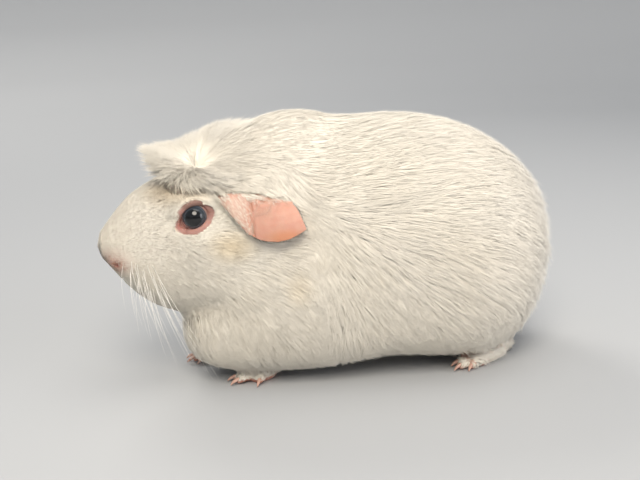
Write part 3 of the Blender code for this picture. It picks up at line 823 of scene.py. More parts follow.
def region_masks(ground):
    """The faces of each region of the coat by name, and those of ears, feet and bare skin."""
    x, y, z = ground.middle.T
    up = ground.face_normal[:, 2]
    side = np.abs(y)
    draw = np.random.default_rng(SEED)
    blur = draw.normal(0, 1, (3, len(x)))
    ear, foot = ground.owned_by(EARS), ground.owned_by(LEGS)
    u, v, w = eye_frame(ground.middle)
    lid = (lid_ratio(u, v) < 1.42 - 0.23 * smooth(0, 4, v)) & (w > -1)
    nose = np.sqrt(((x + 88) / 5.6) ** 2 + ((side - 7.4) / 5.0) ** 2 + ((z - 53.4) / 2.9) ** 2)
    nose = nose + draw.uniform(-0.5, 0.5, len(x)) < 1
    nose |= (np.abs(z - mouth_height(side)) < 0.25) & (side < 7) & (x < -77)
    nose |= (side < 0.4) & (z > 45.5) & (z < 52) & (x < -80)
    crown = (np.hypot((x - WHORL[0]) / 15, (y + 2) / 14) < 1) & (z > 80)
    open_skin = ~(lid | ground.owned_by(EYES) | nose)
    # The borders between regions are blurred, so that no line shows where one meets another.
    body = open_skin & ~ear & ~foot
    face = body & (x + blur[0] * 3 < -54)
    head = body & ~face & (x + blur[1] * 4 < -13)
    level = z + blur[2] * 3
    rear = body & ~face & ~head
    rump = rear & (x + blur[0] * 4 > 58) & (up > -0.55)
    belly = rear & (up <= -0.55)
    trunk = rear & ~rump & ~belly
    back = trunk & (up + blur[1] * 0.05 > 0.72)
    bare_ear = (x > -36.5) & (z < 80.5) & (ground.face_normal[:, 1] * np.sign(y) > 0)
    ear_hair = ear & (~bare_ear | (draw.random(len(x)) < 0.3 * smooth(76, 80, z)))
    masks = {
        "coat_face_left": face & ~crown & (y < 0),
        "coat_face_right": face & ~crown & (y >= 0),
        "coat_nape": head & (level > 76) & ~crown,
        "coat_cheeks": head & (level <= 76) & (level > 30),
        "coat_chest": head & (level <= 30),
        "coat_back": back,
        "coat_flank_left": trunk & ~back & (y < 0),
        "coat_flank_right": trunk & ~back & (y >= 0),
        "coat_rump": rump,
        "coat_belly": belly,
        "coat_feet": foot & (z > 2.5) & (up > -0.4),
        "coat_ears": ear_hair & open_skin,
    }
    return masks, ear, foot, lid | nose


# Regions of the coat: the number of hairs, hairs in a lock, how far they draw together at the tip,
# and their width against the usual.
HAIRS = {
    "coat_face_left": (32500, 6, 0.08, 0.9),
    "coat_face_right": (32500, 6, 0.08, 0.9),
    "coat_nape": (19000, 8, 0.3, 1.0),
    "coat_cheeks": (27000, 8, 0.25, 1.0),
    "coat_chest": (17000, 9, 0.4, 1.0),
    "coat_back": (17000, 9, 0.35, 1.0),
    "coat_flank_left": (24500, 9, 0.38, 1.0),
    "coat_flank_right": (24500, 9, 0.38, 1.0),
    "coat_rump": (24000, 9, 0.42, 1.0),
    "coat_belly": (5000, 9, 0.4, 1.3),
    "coat_feet": (8000, 6, 0.2, 1.1),
    "coat_ears": (5000, 4, 0.0, 0.6),
}
CREST_HAIRS = 16000
CREST_LOCK = 8
# Steps in which a lock follows the outline.
STEPS = 5
# Width of a hair, and room for a lock, each against the usual by the hair's length.
HAIR_WIDTHS = ((1, 0.26), (2, 0.40), (4, 0.52), (10, 0.74), (18, 0.86))
LOCK_SPACINGS = ((1, 0.30), (2, 0.38), (4, 0.55), (10, 1.0), (18, 1.3))


def spread_out(points, space, wanted, draw):
    """Numbers of about the wanted count of points, none nearer to another than its own space."""
    grid, kept = {}, []
    keys = np.floor(points / space.max()).astype(int).tolist()
    shifts = [(i, j, k) for i in (-1, 0, 1) for j in (-1, 0, 1) for k in (-1, 0, 1)]
    tries = zip(keys, points.tolist(), (space ** 2).tolist())
    for number, (key, (x, y, z), room) in enumerate(tries):
        clear = all((x - a) ** 2 + (y - b) ** 2 + (z - c) ** 2 >= room for i, j, k in shifts
                    for a, b, c in grid.get((key[0] + i, key[1] + j, key[2] + k), ()))
        if clear:
            grid.setdefault(tuple(key), []).append((x, y, z))
            kept.append(number)
            if len(kept) >= wanted:
                break
    if len(kept) < wanted:
        rest = np.setdiff1d(np.arange(len(points)), kept)
        kept += draw.choice(rest, min(len(rest), wanted - len(kept)), replace=False).tolist()
    return np.array(kept)


def grow_locks(ground, faces, locks, draw, ear_faces, foot_faces, bare_faces):
    """Middle lines of locks that start on the given faces and follow the lie of the coat."""
    length = hair_length(ground.middle[faces], ground.face_normal[faces], foot_faces[faces],
                         ear_faces[faces])
    density = 1 / from_table(length, LOCK_SPACINGS) ** 2
    share = ground.area[faces] * density
    total = share.sum()
    tries = locks * 5
    chosen = draw.choice(len(faces), tries, p=share / total)
    room = np.sqrt(total / (density[chosen] * locks))
    chosen = faces[chosen]
    a, b = draw.random((2, tries))
    flip = a + b > 1
    a, b = np.where(flip, 1 - a, a), np.where(flip, 1 - b, b)
    weight = np.stack([1 - a - b, a, b], 1)[..., None]
    place = (ground.outer[ground.faces[chosen]] * weight).sum(1)
    kept = spread_out(place, room * 0.74, locks, draw)
    chosen, place, weight, room = chosen[kept], place[kept], weight[kept], room[kept]
    locks = len(kept)
    skin = (ground.inner[ground.faces[chosen]] * weight).sum(1)
    normal = ground.face_normal[chosen]
    ear, foot = ear_faces[chosen], foot_faces[chosen]
    length = hair_length(place, normal, foot, ear) * draw.uniform(0.8, 1.12, locks)
    gap = np.linalg.norm(place - skin, axis=1)
    path, ups = [skin], [normal]
    ahead = lie_of_hair(place, normal, foot, ear)
    turned = np.radians(draw.normal(0, 3, locks))
    # Each lock ends at a level of its own below the outline; at the rump some stand out from it.
    level = np.abs(draw.normal(0, 0.026, locks)) * length + 0.012 * length
    level = np.minimum(level, 0.7 * gap + 0.05)
    x, _, z = place.T
    zone = 0.12 * smooth(-60, -30, x) + smooth(60, 90, x) * smooth(3, 14, z)
    flare = np.minimum(draw.exponential(0.7, locks), 2.4) * zone * ~(ear | foot)
    halted = np.zeros(locks, bool)
    stops_at_ear = draw.random(locks) < 0.86
    for step in range(1, STEPS + 1):
        across = np.cross(normal, ahead)
        heading = ahead * np.cos(turned)[:, None] + across * np.sin(turned)[:, None]
        target = place + heading * (length / STEPS)[:, None]
        free = (freedom(place, normal) * ~(ear | foot & (place[:, 0] < 46)))[:, None]
        on_outline, turned_up, face = ground.settle(target)
        halted |= (ear_faces[face] & ~ear & stops_at_ear) | bare_faces[face]
        still = halted[:, None]
        place = np.where(still, place + heading * 0.15, on_outline + (target - on_outline) * free)
        normal = np.where(still, normal, turned_up)
        onward = lie_of_hair(on_outline, normal, foot, ear)
        ahead = np.where(still, ahead, unit(onward * (1 - free) + heading * free))
        rise = smooth(0, 0.45, step / STEPS)
        sink = gap * (1 - rise) + level * rise - flare * smooth(0.4, 1.0, step / STEPS)
        point = place - normal * sink[:, None]
        point[:, 2] = np.maximum(point[:, 2], 0.9)
        path.append(point)
        ups.append(normal)
    return np.stack(path, 1), np.stack(ups, 1), length, room


def hairs_from_locks(ground, locks, each, draw, gathered, thicker, stray=0.03):
    """Single hairs round each lock's middle line, drawn together towards its tip."""
    path, ups, length, room = locks
    owner = np.repeat(np.arange(len(path)), each)
    count = len(owner)
    radius = room[owner] * 0.82 * np.sqrt(draw.random(count))
    turn = draw.uniform(0, 2 * math.pi, count)
    along = unit(path[:, 1] - path[:, 0])
    normal = ups[:, 0]
    along = unit(along - normal * np.sum(along * normal, axis=1, keepdims=True))
    across = np.cross(normal, along)
    offset = (along[owner] * (np.cos(turn) * radius)[:, None]
              + across[owner] * (np.sin(turn) * radius)[:, None])
    own_length = draw.uniform(0.72, 1.06, count)
    wild = draw.random(count) < stray
    gather = np.where(wild, 0.0, gathered * draw.uniform(0.4, 1.6, count))
    drift = draw.normal(0, 0.03, (count, 1)) * length[owner][:, None]
    lift = np.where(wild, draw.uniform(0.0, 0.07, count), draw.normal(0, 0.010, count))
    lift = lift * length[owner]
    points, normals = [], []
    for t in (0.0, WIDEST, 1.0):
        at = np.clip(t * own_length, 0, 1) * STEPS
        low = np.minimum(at.astype(int), STEPS - 1)
        part = (at - low)[:, None]
        base = path[owner, low] * (1 - part) + path[owner, low + 1] * part
        up = unit(ups[owner, low] * (1 - part) + ups[owner, low + 1] * part)
        near = (1 - gather * t ** 1.5)[:, None]
        points.append(base + offset * near + across[owner] * drift * t ** 2
                      + up * (lift * t ** 2)[:, None])
        normals.append(up)
    points, normals = np.stack(points, 1), np.stack(normals, 1)
    root, patches = ground.root(points[:, 0])
    points[:, 0] = root - normals[:, 0] * 0.2
    points[..., 2] = np.maximum(points[..., 2], 0.5)
    hair = bpy.context.scene.guinea_coat.hair / MM
    width = from_table(length, HAIR_WIDTHS)[owner] * hair * thicker
    width *= draw.uniform(0.75, 1.25, count)
    return points, normals, width, patches


# --- Crest and coat -------------------------------------------------------------------------------

# The crest's hairs by their heading round the whorl, in degrees from straight ahead towards the
# near side: the place half way and the tip of the longest hairs above, then of those below.
CREST_SHAPE = (
    (0, (-66, -4, 96.5), (-77.5, -1, 98), (-66, -4, 91), (-75.5, -1, 86.5)),
    (30, (-65, -11, 94.5), (-76.5, -7, 93), (-64, -10, 90), (-73.5, -8, 84)),
    (55, (-63, -16, 91), (-71, -15, 84.5), (-61, -14, 88), (-68, -14, 79.5)),
    (80, (-56, -19.5, 89), (-58, -20.5, 79.5), (-55, -17, 87), (-57.5, -18.5, 78.5)),
    (105, (-50, -20, 88.5), (-49, -22.5, 80), (-50, -17.5, 86.5), (-49, -20.5, 79)),
    (135, (-45, -18, 90), (-37, -24.5, 84), (-46, -16, 88), (-39, -23, 84)),
    (160, (-41, -14, 94.5), (-28, -21, 89), (-42, -13, 92), (-30, -20, 88)),
    (185, (-41, -7, 103), (-21, -8, 106), (-42, -7, 98), (-25, -8, 103)),
    (215, (-43, 2, 105.5), (-23, 12, 103), (-45, 1, 100), (-27, 11, 100)),
    (250, (-48, 4, 104), (-40, 24, 85), (-49, 3, 98), (-41, 21, 84)),
    (285, (-55, 5, 101.5), (-56, 20.5, 79.5), (-55, 4, 96), (-56, 18, 79)),
    (318, (-61, 4, 99.5), (-69, 14, 86), (-61, 3, 94), (-66, 13, 81)),
    (342, (-66, 1, 98), (-76, 5, 96), (-65, 0, 93), (-73, 5, 85)),
)
# The crest's hair faces away from this place inside it.
CREST_CENTRE = np.array([-50, 0, 82])
# How far the crest's locks draw together, its share of stray hairs, and the room for each lock.
CREST_GATHERED = 0.35
CREST_STRAY = 0.04
CREST_ROOM = 1.35
CREST_SEED = SEED + 50
WHISKER_SEED = SEED + 90


def crest_line(heading, share, under):
    """Places on the crest, by heading round the whorl, share of the way out, and depth."""
    table = np.array([[row[0], *row[1], *row[2], *row[3], *row[4]] for row in CREST_SHAPE], float)
    wrapped = np.concatenate([table, table[:1]])
    wrapped[-1, 0] = 360
    values = np.stack([np.interp(heading % 360, wrapped[:, 0], wrapped[:, column])
                       for column in range(1, 13)], 1)
    under = under[:, None]
    half_way = values[:, :3] * (1 - under) + values[:, 6:9] * under
    tip = values[:, 3:6] * (1 - under) + values[:, 9:] * under
    bend = 2 * half_way - 0.5 * (WHORL + tip)
    share = share[:, None]
    return WHORL * (1 - share) ** 2 + bend * 2 * share * (1 - share) + tip * share ** 2


def crest_locks(ground, locks, draw):
    """Locks that spread from the whorl, roll under over the brow, and run into the nape behind."""
    heading = draw.uniform(0, 360, locks)
    under = np.where(draw.random(locks) < 0.72, 0.035 * draw.random(locks), draw.random(locks))
    start = draw.beta(1.0, 1.4, locks) * 0.66
    end = np.minimum(start + draw.uniform(0.34, 0.6, locks), draw.uniform(0.92, 1.04, locks))
    near = smooth(38, 80, heading) * smooth(150, 105, heading)
    far = smooth(325, 290, heading) * smooth(210, 250, heading)
    swirl = 34 * near - 20 * far
    brow = np.maximum(near, far)
    behind = smooth(100, 130, heading) * smooth(186, 166, heading)
    rear = smooth(190, 225, heading) * smooth(310, 280, heading)
    # Some tips stand up from the front of the far side.
    ragged = np.minimum(draw.exponential(0.6, locks), 1.7) * (under < 0.1)
    ragged *= np.maximum(smooth(285, 315, heading) * (1 - 0.75 * smooth(335, 350, heading)),
                         0.25 * smooth(35, 10, heading))
    base = WHORL + (crest_line(heading, start, under) - WHORL) * 0.66
    base[:, 2] -= 4
    root, _ = ground.root(base)
    # In front the normals turn towards the side that each hair shows.
    aside = np.radians(heading)
    from_front = np.abs((heading + 180) % 360 - 180)
    fore = smooth(120, 60, from_front)
    off_ridge = smooth(12, 60, from_front)
    facing = unit(np.stack([-0.35 - 0.3 * np.cos(aside), -0.8 * np.sin(aside) * off_ridge,
                            0.9 - 0.4 * off_ridge], 1))
    path, ups = [], []
    for step in range(STEPS + 1):
        t = step / STEPS
        share = start + (end - start) * t
        bearing = heading + swirl * share ** 2
        place = crest_line(bearing, share, under)
        ahead = crest_line(bearing, share + 0.04, under) - crest_line(bearing, share - 0.04, under)
        around = crest_line(bearing + 4, share, under) - crest_line(bearing - 4, share, under)
        normal = unit(np.cross(unit(ahead), unit(around)))
        outward = place - CREST_CENTRE
        normal = np.where((normal * outward).sum(1, keepdims=True) < 0, -normal, normal)
        normal = unit(normal + 0.6 * unit(outward))
        turned = np.maximum(smooth(0.35, 0.8, share), smooth(0.02, 0.3, under))
        turned = (0.8 * fore * turned)[:, None]
        normal = unit(normal * (1 - turned) + facing * turned)
        place = place - normal * (brow * smooth(0.70, 1.0, share))[:, None]
        # Behind and below, the locks come to lie on the coat round them.
        on_outline, turned_up, _ = ground.settle(place)
        hug = np.maximum(behind * smooth(0.15, 0.75, share), rear * smooth(0.66, 0.95, share))
        hug = np.maximum(hug, 0.85 * brow * smooth(0.74, 1.02, share))[:, None]
        place = place * (1 - hug) + (on_outline + turned_up * 0.25) * hug
        normal = unit(normal * (1 - hug) + turned_up * hug)
        place[:, 2] += ragged * smooth(0.45, 1.0, share) * 2.6
        path.append(root + (place - root) * smooth(0, 0.55, t))
        ups.append(normal)
    length = np.linalg.norm(path[-1] - path[0], axis=1) * 1.1
    return np.stack(path, 1), np.stack(ups, 1), length, np.full(locks, CREST_ROOM)


def coat_material():
    """Guard hair, white with a breath of yellow: fairly matt, with a soft sheen along a lock."""
    made, tree, shader = material("Coat hair", Roughness=0.6, IOR=1.55, Sheen_Weight=0.2,
                                  Sheen_Roughness=0.4, Specular_IOR_Level=0.2)
    place = add(tree, "ShaderNodeTexCoord", {}).outputs["Object"]
    folded = folded_over(tree, place)
    # Pink skin shows through at the nose, and the fringe under the ear is tan.
    colour = tinted(tree, folded, coat_colour(tree, place, folded), (
        ((-88, -7, 54), (12, 13, 9), 0.1, 0.75, linear("#DFB3A3")),
        ((-24, -36.5, 64.5), (10, 5, 3.4), 0.4, 0.8, linear("#D8A070")),
    ))
    # Each hair has a patch of its own on the flat layout, so this gives each a slightly other tone.
    patch = add(tree, "ShaderNodeUVMap", {"uv_map": "OFBake"})
    tone = add(tree, "ShaderNodeTexNoise", {"Scale": 0.51 / PATCH, "Detail": 1.0,
                                            "Vector": patch.outputs[0]})
    share = add(tree, "ShaderNodeMath", {"operation": "MULTIPLY", 0: tone.outputs[0], 1: 0.5})
    dull = darkened(bpy.context.scene.guinea_coat.ivory, 0.88, 0.86, 0.82)
    colour = add(tree, "ShaderNodeMix", {"data_type": "RGBA", 0: share.outputs[0], 6: colour,
                                         7: dull})
    tree.links.new(colour.outputs[2], shader.inputs["Base Color"])
    return made


def build_coat(ground):
    """All the regions of the coat as pieces."""
    masks, ear, foot, bare = region_masks(ground)
    amount = bpy.context.scene.guinea_coat.amount * 1
    thicker = 1 / math.sqrt(amount)
    finish = coat_material()
    for number, (name, (count, each, gathered, wide)) in enumerate(HAIRS.items()):
        draw = np.random.default_rng(SEED + number)
        faces = np.nonzero(masks[name])[0]
        wanted = max(20, int(count * amount) // each)
        locks = grow_locks(ground, faces, wanted, draw, ear, foot, bare)
        parts = hairs_from_locks(ground, locks, each, draw, gathered, thicker * wide)
        settled(new_piece(name, hairs_mesh(name, *parts), finish), "coat")
    draw = np.random.default_rng(CREST_SEED)
    locks = crest_locks(ground, int(CREST_HAIRS * amount) // CREST_LOCK, draw)
    parts = hairs_from_locks(ground, locks, CREST_LOCK, draw, CREST_GATHERED, thicker, CREST_STRAY)
    settled(new_piece("coat_crest", hairs_mesh("coat_crest", *parts), finish), "coat", "crest")


# --- Eyes, claws and whiskers ---------------------------------------------------------------------

EYE_ROWS = 48
EYE_COLUMNS = 64
# How far the white of the eye lies inside the solid's ball, and how far the cornea rises from it.
WHITE_IN = 0.35
CORNEA_RISE = 0.37
# Colours of the eye by the angle from its axis as a share of half a turn: pupil, iris and its pale
# rim, the dark line round it, and the white, pink at the back.
PUPIL = ((0.0, "#050608"), (0.185, "#07090B"))
IRIS = (0.225, 0.285)
RIM = 0.325
WHITE = ((0.352, "#2A3036"), (0.375, "#B9B2AE"), (0.42, "#C9A79E"))
# Whiskers: rows and columns on each side, points along each, and corners round it.
WHISKER_ROWS = 5
WHISKER_COLUMNS = 6
WHISKER_POINTS = 9
TUBE_SIDES = 5


def build_eye(name):
    """An eyeball with a raised cornea, turned outward and a little forward."""
    centre = middle(name) + EYE_SHIFT
    axis = EYE_AXIS * [1, 1 if centre[1] < 0 else -1, 1]
    along = unit(np.cross(axis, [0, 0, 1]))
    across = np.cross(along, axis)
    points = [centre + axis * (EYE_RADIUS + CORNEA_RISE - WHITE_IN)]
    for angle in np.linspace(0, math.pi, EYE_ROWS + 1)[1:-1]:
        radius = EYE_RADIUS - WHITE_IN + CORNEA_RISE * math.exp(-(angle / 0.9) ** 4)
        for column in range(EYE_COLUMNS):
            turn = 2 * math.pi * column / EYE_COLUMNS
            around = along * math.cos(turn) + across * math.sin(turn)
            points.append(centre + (axis * math.cos(angle) + around * math.sin(angle)) * radius)
    points.append(centre - axis * (EYE_RADIUS - WHITE_IN))
    faces = []
    last = 1 + (EYE_ROWS - 2) * EYE_COLUMNS
    for column in range(EYE_COLUMNS):
        following = (column + 1) % EYE_COLUMNS
        faces.append((0, 1 + column, 1 + following))
        for a in range(1, last, EYE_COLUMNS):
            b = a + EYE_COLUMNS
            faces.append((a + column, b + column, b + following, a + following))
        faces.append((last + column, len(points) - 1, last + following))
    mesh = bpy.data.meshes.new(name)
    mesh.from_pydata([tuple(point * MM) for point in points], [], faces)
    whole = bmesh.new()
    whole.from_mesh(mesh)
    bmesh.ops.recalc_face_normals(whole, faces=whole.faces)
    whole.to_mesh(mesh)
    whole.free()
    return smoothed(mesh)


def eye_material():
    """Wet eyeball: near-black pupil, slate iris with a paler rim, under a clear glossy cornea."""
    eye = bpy.context.scene.guinea_eye
    made, tree, shader = material("Eye", Roughness=0.12, IOR=1.376, Coat_Weight=1.0,
                                  Coat_Roughness=0.02, Coat_IOR=1.376, Specular_IOR_Level=0.5)
    place = add(tree, "ShaderNodeTexCoord", {}).outputs["Object"]
    local = add(tree, "ShaderNodeVectorMath", {"operation": "SUBTRACT", 0: folded_over(tree, place),
                                               1: tuple(EYE * [1, -1, 1] * MM)})
    way = add(tree, "ShaderNodeVectorMath", {"operation": "NORMALIZE", 0: local.outputs[0]})
    facing = add(tree, "ShaderNodeVectorMath", {"operation": "DOT_PRODUCT", 0: way.outputs[0],
                                                1: tuple(EYE_AXIS * [1, -1, 1])})
    angle = add(tree, "ShaderNodeMath", {"operation": "ARCCOSINE", 0: facing.outputs["Value"]})
    share = add(tree, "ShaderNodeMath", {"operation": "MULTIPLY", 0: angle.outputs[0],
                                         1: 1 / math.pi})
    ramp = add(tree, "ShaderNodeValToRGB", {0: share.outputs[0]})
    stops = [(position, linear(colour)) for position, colour in PUPIL]
    stops += [(position, eye.iris) for position in IRIS] + [(RIM, eye.rim)]
    stops += [(position, linear(colour)) for position, colour in WHITE]
    elements = ramp.color_ramp.elements
    elements.remove(elements[1])
    elements[0].color = (*stops[0][1], 1)
    for position, colour in stops[1:]:
        elements.new(position).color = (*colour, 1)
    # Fibres of the iris, counted by angle and not by size, 14 to the width of the ball.
    fibres = add(tree, "ShaderNodeTexNoise", {"Scale": 14.0, "Detail": 3.0,
                                              "Vector": way.outputs[0]})
    faint = add(tree, "ShaderNodeMath", {"operation": "MULTIPLY", 0: fibres.outputs[0], 1: 0.35})
    colour = add(tree, "ShaderNodeMix", {"data_type": "RGBA", 0: faint.outputs[0],
                                         6: ramp.outputs[0], 7: linear("#0B0D10")})
    tree.links.new(colour.outputs[2], shader.inputs["Base Color"])
    return made


def claw_material():
    """Horn of the claws: pinkish tan, smooth and slightly see-through, so it keeps a soft shine."""
    made, tree, shader = material("Claw horn", Roughness=0.35, IOR=1.54, Subsurface_Weight=0.2,
                                  Subsurface_Radius=(1.0, 0.6, 0.4), Subsurface_Scale=0.0008)
    grained(tree, shader, 1.43, 3.0, "#D9B3A0", "#B98F7E")
    return made


def whisker_material():
    """Whisker: stiff clear-white keratin with a fine bright line of gloss."""
    made, tree, shader = material("Whisker", Roughness=0.3, IOR=1.55, Specular_IOR_Level=0.6)
    grained(tree, shader, 2.5, 2.0, "#FFFDF8", "#EFE9DE")
    return made


def grained(tree, shader, size, detail, first, second):
    """Give a shader a colour that goes between two along a grain of a size in millimetres."""
    place = add(tree, "ShaderNodeTexCoord", {}).outputs["Object"]
    grain = add(tree, "ShaderNodeTexNoise", {"Scale": scale_of(size), "Detail": detail,
                                             "Vector": place})
    colour = add(tree, "ShaderNodeMix", {"data_type": "RGBA", 0: grain.outputs[0],
                                         6: linear(first), 7: linear(second)})
    tree.links.new(colour.outputs[2], shader.inputs["Base Color"])


def tube_mesh(name, lines, widths):
    """Closed tapering tubes along lines of points in millimetres."""
    points, faces = [], []
    for line, width in zip(lines, widths):
        along = unit(np.gradient(line, axis=0))
        side = unit(np.cross(along, [0.3, 0.2, 1.0]))
        other = np.cross(along, side)
        base, rings = len(points), len(line) - 1
        last = base + (rings - 1) * TUBE_SIDES
        for ring in range(rings):
            radius = width / 2 * (1 - 0.85 * ring / rings)
            for corner in range(TUBE_SIDES):
                turn = 2 * math.pi * corner / TUBE_SIDES
                outward = side[ring] * math.cos(turn) + other[ring] * math.sin(turn)
                points.append(line[ring] + outward * radius)
        points.append(line[-1])
        pairs = [(corner, (corner + 1) % TUBE_SIDES) for corner in range(TUBE_SIDES)]
        for a in range(base, last, TUBE_SIDES):
            b = a + TUBE_SIDES
            faces += [(a + i, a + j, b + j, b + i) for i, j in pairs]
        faces += [(last + i, last + j, len(points) - 1) for i, j in pairs]
        faces.append(tuple(base + corner for corner in reversed(range(TUBE_SIDES))))
    mesh = bpy.data.meshes.new(name)
    mesh.from_pydata([tuple(point * MM) for point in points], [], faces)
    return smoothed(mesh)


def build_whiskers(ground):
    """Long fine whiskers in rows on both sides of the muzzle."""
    draw = np.random.default_rng(WHISKER_SEED)
    lines, widths = [], []
    for side in (-1, 1):
        for row in range(WHISKER_ROWS):
            for column in range(WHISKER_COLUMNS):
                root = np.array([-85.5 + column * 2.3 + row * 0.9, side * 14.0, 54.5 - row * 2.7])
                root += draw.normal(0, 0.7, 3)
                place, normal, _ = ground.settle([root])
                place, normal = place[0], normal[0]
                length = 13 + column * 3.4 + draw.uniform(0, 7)
                way = unit(np.array([0.10 + 0.10 * column, side * 0.35, -0.62 - 0.07 * row])
                           + normal * 0.75 + draw.normal(0, 0.08, 3))
                t = np.linspace(0, 1, WHISKER_POINTS)[:, None]
                bend = np.array([0.22, -side * 0.05, -0.30]) * t * t * length
                line = place - normal * 0.6 + way * length * t + bend
                line[:, 2] = np.maximum(line[:, 2], 1.0)
                lines.append(line)
                widths.append(draw.uniform(0.12, 0.21))
    return tube_mesh("whiskers", lines, widths)


# --- Stage ----------------------------------------------------------------------------------------

# Lengths on the stage are in metres. The floor's edge curves up; it lies a hair below the soles.
FLOOR_PROFILE = ((0.3, 0), (0.7, 0), (1.0, 0), (1.15, 0.02), (1.27, 0.07), (1.36, 0.16),
                 (1.4, 0.28), (1.4, 0.45))
FLOOR_AROUND = 96
FLOOR_DROP = 0.0001
# The place the camera turns round, and its focal length in millimetres.
TARGET = Vector((-0.00445, 0, 0.0528))
FOCAL_LENGTH = 48.2
NEAR_CLIP = 0.01
# Lamps: place, width, power in watts and colour.
LAMPS = {
    "key": ((-0.12, -0.62, 0.70), 0.55, 6.8, "#FFF6E8"),
    "top": ((0.15, -0.05, 0.90), 0.70, 2.3, "#FFF9F0"),
    "fill": ((0.80, -0.50, 0.28), 0.60, 3.2, "#F6F5FA"),
    "back": ((-0.40, 1.25, 1.10), 0.80, 12.0, "#FFF9F0"),
}
SKY = "#E8EDF5"
SKY_STRENGTH = 0.5


def build_floor(stage):
    """Matt floor that curves up at its rim."""
    turns = [2 * math.pi * i / FLOOR_AROUND for i in range(FLOOR_AROUND)]
    points = [(0, 0, -FLOOR_DROP)]
    for radius, height in FLOOR_PROFILE:
        points += [(radius * math.cos(turn), radius * math.sin(turn), height - FLOOR_DROP)
                   for turn in turns]
    faces = []
    last = 1 + (len(FLOOR_PROFILE) - 1) * FLOOR_AROUND
    for i in range(FLOOR_AROUND):
        j = (i + 1) % FLOOR_AROUND
        faces.append((0, 1 + i, 1 + j))
        for a in range(1, last, FLOOR_AROUND):
            b = a + FLOOR_AROUND
            faces.append((a + i, b + i, b + j, a + j))
    mesh = bpy.data.meshes.new("floor")
    mesh.from_pydata(points, [], faces)
    made, _, shader = material("Floor", Roughness=0.9, Specular_IOR_Level=0.2)
    shader.inputs["Base Color"].default_value = (*stage.floor, 1)
    floor = new_piece("floor", smoothed(mesh), made)


def aim_camera(stage):
    """Camera round the target, at the stage's angles and distance."""
    azimuth, height, roll = stage.azimuth, stage.height, stage.roll
    back = Vector((math.sin(azimuth) * math.cos(height), -math.cos(azimuth) * math.cos(height),
                   math.sin(height)))
    right = Vector((0, 0, 1)).cross(back).normalized()
    up = back.cross(right)
    turned_right = right * math.cos(roll) + up * math.sin(roll)
    turned_up = up * math.cos(roll) - right * math.sin(roll)
    lens = bpy.data.cameras.new("camera")
    lens.lens = FOCAL_LENGTH
    lens.clip_start = NEAR_CLIP
    camera = new_piece("camera", lens)
    camera.rotation_euler = Matrix((turned_right, turned_up, back)).transposed().to_euler()
    camera.location = TARGET + back * stage.distance
    bpy.context.scene.camera = camera


def set_lights():
    """Large soft lamps round the model, and a pale sky."""
    for name, (location, size, power, colour) in LAMPS.items():
        light = bpy.data.lights.new(name, "AREA")
        light.shape = "DISK"
        light.size = size
        light.energy = power
        light.color = linear(colour)
        lamp = new_piece(name, light)
        lamp.location = location
        lamp.rotation_euler = (Vector(location) - TARGET).to_track_quat("Z", "Y").to_euler()
    world = bpy.data.worlds.new("studio")
    world.use_nodes = True
    background = world.node_tree.nodes["Background"]
    background.inputs["Color"].default_value = (*linear(SKY), 1)
    background.inputs["Strength"].default_value = SKY_STRENGTH
    bpy.context.scene.world = world
    bpy.context.scene.view_settings.view_transform = "Standard"


# --- Operators ------------------------------------------------------------------------------------


class GUINEA_OT_skin(bpy.types.Operator):
    """Make the skin in place of the solids of flesh"""

    bl_idname = "guinea.skin"
    bl_label = "Skin"

    def execute(self, context):
        item = build_skin()
        unwrap(item)
        item.data.materials.clear()
        item.data.materials.append(skin_material())
        settled(item, "ear_skin", *FLESH)
        return {"FINISHED"}


class GUINEA_OT_eyes(bpy.types.Operator):
    """Make both eyes in place of their solids"""

    bl_idname = "guinea.eyes"
    bl_label = "Eyes"

    def execute(self, context):
        finish = eye_material()
        for name in EYES:
            settled(new_piece(name + "_ball", build_eye(name), finish), "eye", name)
        return {"FINISHED"}


class GUINEA_OT_claws(bpy.types.Operator):
    """Give the claws their horn"""

    bl_idname = "guinea.claws"
    bl_label = "Claws"

    def execute(self, context):
        finish = claw_material()
        for name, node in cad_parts.items():
            if "claw" in name:
                node.material_slots[0].material = finish
        return {"FINISHED"}


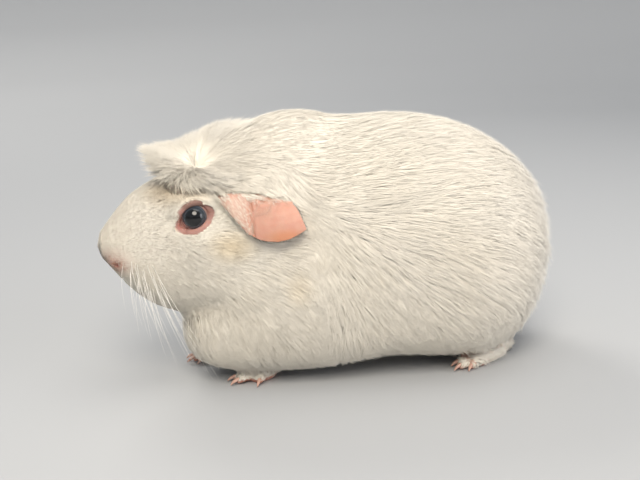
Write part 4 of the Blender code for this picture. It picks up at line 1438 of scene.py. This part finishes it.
class GUINEA_OT_coat(bpy.types.Operator):
    """Grow the coat and the whiskers on the skin"""

    bl_idname = "guinea.coat"
    bl_label = "Coat"

    def execute(self, context):
        skin = bpy.data.objects["skin"]
        ground = Ground(skin)
        build_coat(ground)
        settled(new_piece("whiskers", build_whiskers(ground), whisker_material()), "coat")
        for name in ("outer", "owner"):
            skin.data.attributes.remove(skin.data.attributes[name])
        return {"FINISHED"}


class GUINEA_OT_stage(bpy.types.Operator):
    """Set the floor, the lights and the camera"""

    bl_idname = "guinea.stage"
    bl_label = "Stage"

    def execute(self, context):
        stage = context.scene.guinea_stage
        build_floor(stage)
        aim_camera(stage)
        set_lights()
        return {"FINISHED"}


class GUINEA_PT_panel(bpy.types.Panel):
    """Steps of the model, in the sidebar"""

    bl_label = "Guinea Pig"
    bl_idname = "GUINEA_PT_panel"
    bl_space_type = "VIEW_3D"
    bl_region_type = "UI"
    bl_category = "Guinea Pig"

    def draw(self, context):
        for step in OPERATORS:
            self.layout.operator(step.bl_idname)
        for group in GROUPS:
            settings = getattr(context.scene, group)
            for name in settings.bl_rna.properties.keys():
                if name not in ("rna_type", "name"):
                    self.layout.prop(settings, name)


GROUPS = {"guinea_skin": SkinSettings, "guinea_coat": CoatSettings, "guinea_eye": EyeSettings,
          "guinea_stage": StageSettings}
OPERATORS = (GUINEA_OT_stage, GUINEA_OT_skin, GUINEA_OT_eyes, GUINEA_OT_claws, GUINEA_OT_coat)


def register():
    """Add the settings, operators and panel."""
    for name, group in GROUPS.items():
        bpy.utils.register_class(group)
        setattr(bpy.types.Scene, name, PointerProperty(type=group))
    for item in (*OPERATORS, GUINEA_PT_panel):
        bpy.utils.register_class(item)


def unregister():
    """Remove the panel, operators and settings."""
    for item in (GUINEA_PT_panel, *reversed(OPERATORS)):
        bpy.utils.unregister_class(item)
    for name, group in GROUPS.items():
        delattr(bpy.types.Scene, name)
        bpy.utils.unregister_class(group)


def main():
    """Make the whole model."""
    register()
    bpy.ops.guinea.stage()
    bpy.ops.guinea.skin()
    bpy.ops.guinea.eyes()
    bpy.ops.guinea.claws()
    bpy.ops.guinea.coat()


if __name__ == "__main__":
    main()
